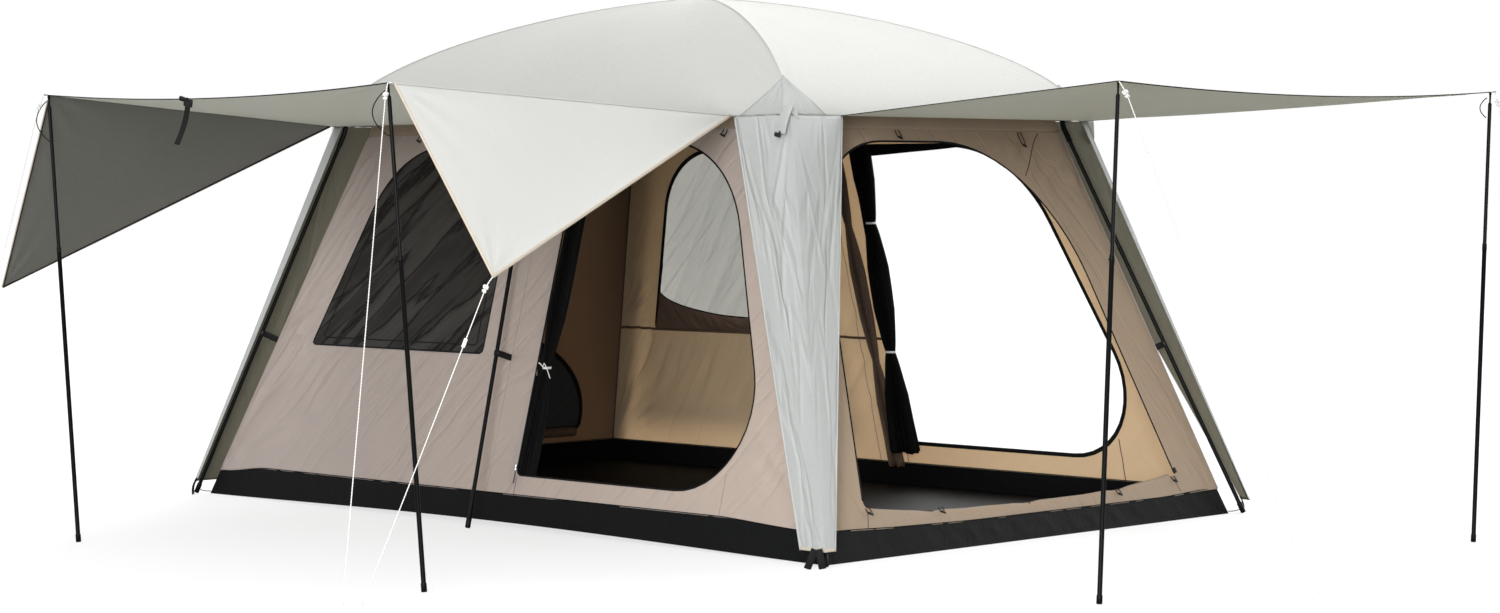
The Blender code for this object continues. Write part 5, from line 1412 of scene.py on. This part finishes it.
def bundle(name, finish, side, x_top, x_foot, foot_z, radius, node, pleats, seed, flare, ties=(0.25, 0.67)):
    """Gathered cloth: deep pleats from its heart out to its skin, which lean over one another, drawn in at
    its ties and loose at the hem, where flare is how much wider it gets."""
    u, v = grid(10 * pleats, 110)
    angle = u * TAU
    z = CURTAIN_TOP_Z + (foot_z - CURTAIN_TOP_Z) * v
    x = x_top + (x_foot - x_top) * v
    near = np.min([abs(v - at) for at in ties], axis=0)
    girth = 0.42 + 0.58 * np.clip(near / 0.14, 0, 1) ** 0.7
    saw = np.abs(2 * ((u * pleats) % 1.0) - 1)
    rng = np.random.default_rng(seed)
    crest = np.interp(u.ravel(), np.linspace(0, 1, pleats + 1),
                      np.append(rng.uniform(0.84, 1.0, pleats), 0.9)).reshape(u.shape)
    body = 0.30 + 0.70 * crest * (1 - saw) ** 0.6
    body = body * (1 + 0.05 * np.sin(5 * v + 3 * angle + seed) + 0.04 * np.sin(17 * v - 2 * angle + seed))
    reach = radius * girth * np.clip(body, 0, 1)
    body = np.minimum(body, 0.30 + 0.70 * step(np.minimum(u, 1 - u), 0.0, 0.01))
    body = body * (1 - 0.12 * step(u, 0.97, 1.0))
    lean_over = angle + 0.55 * body + 0.25 * np.sin(3.0 * v + seed)
    wide = 1 + (flare - 1) * step(v, 0.72, 1.0)
    slope = SIDES[side][2] / EAVE_Z
    depth = 0.0009 + radius / np.sqrt(1 + slope ** 2)
    across = SIDES[side][1]
    inwards = -np.cross(across, UP)
    points = (on_wall(side, x, z, -depth) + (reach * np.cos(lean_over) * wide)[..., None] * across
              + (reach * np.sin(lean_over))[..., None] * inwards)
    points[..., 2] += 0.010 * np.sin(4 * angle + seed) * step(v, 0.9, 1.0)
    patches = [(points, np.stack([u * 1.5, v * 1.5], -1))]
    made = piece(name, finish, patches, stands_for=[node], thick=THIN_CLOTH)
    for k, at in enumerate(ties):
        middle = on_wall(side, x_top + (x_foot - x_top) * at,
                         CURTAIN_TOP_Z + (foot_z - CURTAIN_TOP_Z) * at, -depth)
        r = radius * 0.42 + 0.0012
        loop = hoop(middle, r, across, inwards, 41)
        tie = "white_tape" if finish == "net_gathered" else "seam_tape"
        parts = [sweep(loop, tape(0.011, 0.0018), loop - middle)]
        if name.startswith("front"):
            out = -inwards
            for swing, drop in ((-1, 0.036), (1, 0.046)):
                t = np.linspace(0, 1, 24)[:, None]
                tail = (middle + out * (r + 0.002) + across * swing * 0.046 * t
                        + UP * (0.030 * np.sin(np.pi * t) - drop * t ** 2) + out * 0.012 * np.sin(np.pi * t))
                parts.append(sweep(tail, tape(0.006, 0.0016), out))
        piece(f"{name}_tie_{k + 1}", tie, parts)


def roll(name, side, half, node, turns, cut):
    """A panel rolled down on its sill: a spiral section carried along it, drawn in at its ties."""
    u, v = grid(150, 14 * turns)
    ties = np.array([-0.62, 0.0, 0.62]) * half
    x = (2 * u - 1) * half
    near = np.min(abs(x[..., None] - ties), axis=-1)
    girth = 0.78 + 0.22 * step(near, 0.01, 0.10)
    spiral = (0.004 + 0.0212 * v) * girth * (1 + 0.10 * drift(x, 0 * x, 0.25, 120))

    def level(at):
        """Height of the roll's middle line."""
        return END_SILL_Z - 0.009 - (sill_drop(at) if side == "door_end" else 0)

    angle = v * turns * TAU + 0.4
    points = on_wall(side, x, level(x) + spiral * np.cos(angle), -ROLL_DEPTH - spiral * np.sin(angle))
    patches = [(points, np.stack([x, v * turns * TAU * 0.014], -1))]
    # the rolled end door takes the end wall's tone of painted shade
    finish = "end_wall_warm_shade_cloth" if side == "door_end" else "pocket_cloth"
    made = piece(name, finish, patches, stands_for=[node], thick=THIN_CLOTH)
    turn = np.linspace(0, TAU, 33)
    for k, at in enumerate(ties):
        loop = on_wall(side, np.full(33, at), level(at) + ROLL_TIE_RADIUS * np.cos(turn),
                       -ROLL_DEPTH - ROLL_TIE_RADIUS * np.sin(turn))
        hub = on_wall(side, at, level(at), -ROLL_DEPTH)
        strip(f"{name}_tie_{k + 1}", "black_cord", loop, 0.008, 0.0016, loop - hub)


def toggle(name, side, x, z, hang):
    """A small loop of cord sewn on a wall, with its toggle through it."""
    t = np.linspace(0, 1, 30)
    drop = z + 0.004 - hang * np.sin(np.pi * t)
    path = on_wall(side, x + 0.010 * np.cos(np.pi * t) + 0.006 * np.sin(TAU * t), drop,
                   0.004 + 0.010 * np.sin(np.pi * t))
    low = on_wall(side, x, z - hang + 0.006, 0.016)
    across = SIDES[side][1]
    cord(name + "_cord", "black_cord", path, 0.0021, wall_normal(side))
    half = across * 0.014 - UP * 0.006
    piece(name + "_peg", "black_plastic", [rod(low - half, low + half, [
        (0, 0.0026), (0.003, 0.0048), (0.015, 0.0038), (0.027, 0.0048), (0.030, 0.0026)], 10)])


def make_doors():
    """Tied curtains, rolled panels, and the toggles that hold what is rolled."""
    bundle("front_curtain", "net_gathered", "front", x_top=0.178, x_foot=0.165, foot_z=0.22, radius=0.044,
           node="front_door_mesh_curtain", pleats=20, seed=1, flare=1.25, ties=(0.67,))
    bundle("back_curtain", "net_gathered", "back", x_top=-0.262, x_foot=-0.202, foot_z=0.20, radius=0.057,
           node="back_door_mesh_curtain", pleats=18, seed=2, flare=1.75)
    bundle("back_fabric_curtain", "pocket_cloth", "back", x_top=-0.060, x_foot=-0.110, foot_z=0.118,
           radius=0.040, node="back_door_fabric_curtain", pleats=20, seed=3, flare=1.2)
    roll("rolled_end_door", "door_end", half=1.033, node="end_door_rolled_panel", turns=10, cut=END_DOOR_CUT)
    roll("rolled_vent_cover", "sleep_end", half=1.00, node="vent_rolled_cover", turns=5, cut=VENT_CUT)
    for name, side, x, z, hang in (
            ("sill_toggle_1", "door_end", -1.043, 0.198, 0.026),
            ("sill_toggle_2", "door_end", -0.600, 0.172, 0.026),
            ("sill_toggle_3", "door_end", 0.609, 0.160, 0.026),
            ("sill_toggle_4", "door_end", 1.035, 0.190, 0.026),
            ("end_toggle_1", "door_end", -0.17, 1.790, 0.040),
            ("end_toggle_2", "door_end", 0.68, 1.790, 0.070),
            ("front_toggle_1", "front", -1.02, 1.790, 0.030),
            ("front_toggle_2", "front", 1.10, 1.790, 0.030)):
        toggle(name, side, x, z, hang)
    # ring and cloth tab of the front door's slider
    face = wall_normal("front")
    turn = np.linspace(0, TAU, 33)
    ring_path = on_wall("front", DOOR_EDGE_X + 0.008 * np.cos(turn), 0.262 + 0.008 * np.sin(turn), 0.010)
    cord("front_zip_ring", "bare_steel", ring_path, 0.0012, face)
    z = np.linspace(0.252, 0.200, 8)
    strip("front_zip_tab", "pocket_cloth", on_wall("front", 0.146 + 0 * z, z, 0.006), 0.007, 0.0018, face)


# Clips, buckles and tabs

def make_clips():
    """Webbing straps from the inner tent to the legs, each ending in a plastic hook round its leg."""
    for key in LEGS:
        top, foot = leg_line(key)
        if key in CORNERS:
            start = corner_line(key, CLIP_Z)
        else:
            side = "front" if key == "mid_front" else "back"
            face = wall_normal(side)
            middle = np.mean(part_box("leg_clip_" + key), axis=0)
            start = middle - face * ((middle - on_wall(side, 0, 0)) @ face - 0.001)
        axis = unit(top - foot)
        beside = foot + axis * ((start - foot) @ axis)
        ahead = unit(start - beside)
        across = np.cross(axis, ahead)
        webbing = spaced([start, beside + ahead * (POLE_RADIUS + 0.0006)], 8)
        strip("clip_strap_" + key, "webbing", webbing, 0.030, 0.0022, across, stands_for=["leg_clip_" + key])
        hook = hoop(beside, POLE_RADIUS + 0.0032, ahead, across, 25, 0.62 * np.pi)
        strip("clip_hook_" + key, "black_plastic", hook, 0.024, 0.0040, hook - beside)


def make_fittings():
    """Peg tabs at the feet, elastics from the groundsheet's corners, and cord loops at the pole tops."""
    for letter, (sx, sy) in CORNERS.items():
        foot = corner_foot(letter)
        along, away = vec(sx, -sy, 0) / np.sqrt(2), vec(sx, sy, 0)
        t = np.linspace(0, 1, 16)[:, None]
        out, swings = (0.018, (-0.066, -0.004)) if letter in "ad" else (-0.010, (-0.066, -0.028))
        for k, swing in enumerate(swings):
            start = foot + away * out + along * (-0.030 + 0.25 * swing) + UP * 0.080
            end = foot + away * (out + 0.012) + along * (swing - 0.012) + UP * 0.002
            path = start + (end - start) * t + away * 0.006 * np.sin(np.pi * t)
            strip(f"peg_tab_{letter}_{k + 1}", "webbing", path, 0.030, 0.0026, away)
        start = vec(sx * (HALF_L - 0.002), sy * (HALF_W - 0.002), 0.012)
        path = start + (foot + UP * 0.030 - start) * t - UP * 0.006 * np.sin(np.pi * t)
        cord("corner_elastic_" + letter, "black_cord", path, 0.0022, count=10)
    for key in FEET:
        ball = vec(*BALLS[key])
        down = unit(vec(*FEET[key], 0) - ball)
        t = np.linspace(0, 1, 40)
        if key.startswith("front"):
            bulge, low, lean = 0.095, 0.175, vec(-1.0, 0, 0)
        else:
            bulge, low = 0.030, 0.085
            lean = unit(unit(ball * (-1, -1, 0)) + vec(0, 1.0 if key == "side_near" else -1.0, 0))
        path = (ball + down * 0.018 + down * (low * t)[:, None]
                + lean * (0.0145 + bulge * np.sin(np.pi * t) ** 0.8)[:, None])
        cord("pole_loop_" + key, "black_cord", path, 0.0022, np.cross(down, lean))
        side = unit(np.cross(down, vec(0, 1, 0)))
        rim = hoop(ball + UP * 0.0088, 0.0090, side, np.cross(down, side))
        cord("grommet_ring_" + key, "bare_steel", rim, 0.0016, down)


for make in (add_camera, make_finishes, make_ropes, make_walls, make_nets, make_tub, make_roofs,
             make_flaps, make_awnings, make_wings, make_rear, make_poles, make_doors, make_clips,
             make_fittings, add_stage):
    make()

for node_name, finish_name in (("crown_hub", "black_plastic"), ("zip_slider_front_door", "bare_steel"),
                               ("zip_slider_end_door", "black_plastic"), ("rope_runner", "white_plastic"),
                               *((f"roof_pole_{key}", "pole_paint") for key in LEGS)):
    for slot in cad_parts[node_name].material_slots:
        slot.material = FINISHES[finish_name]
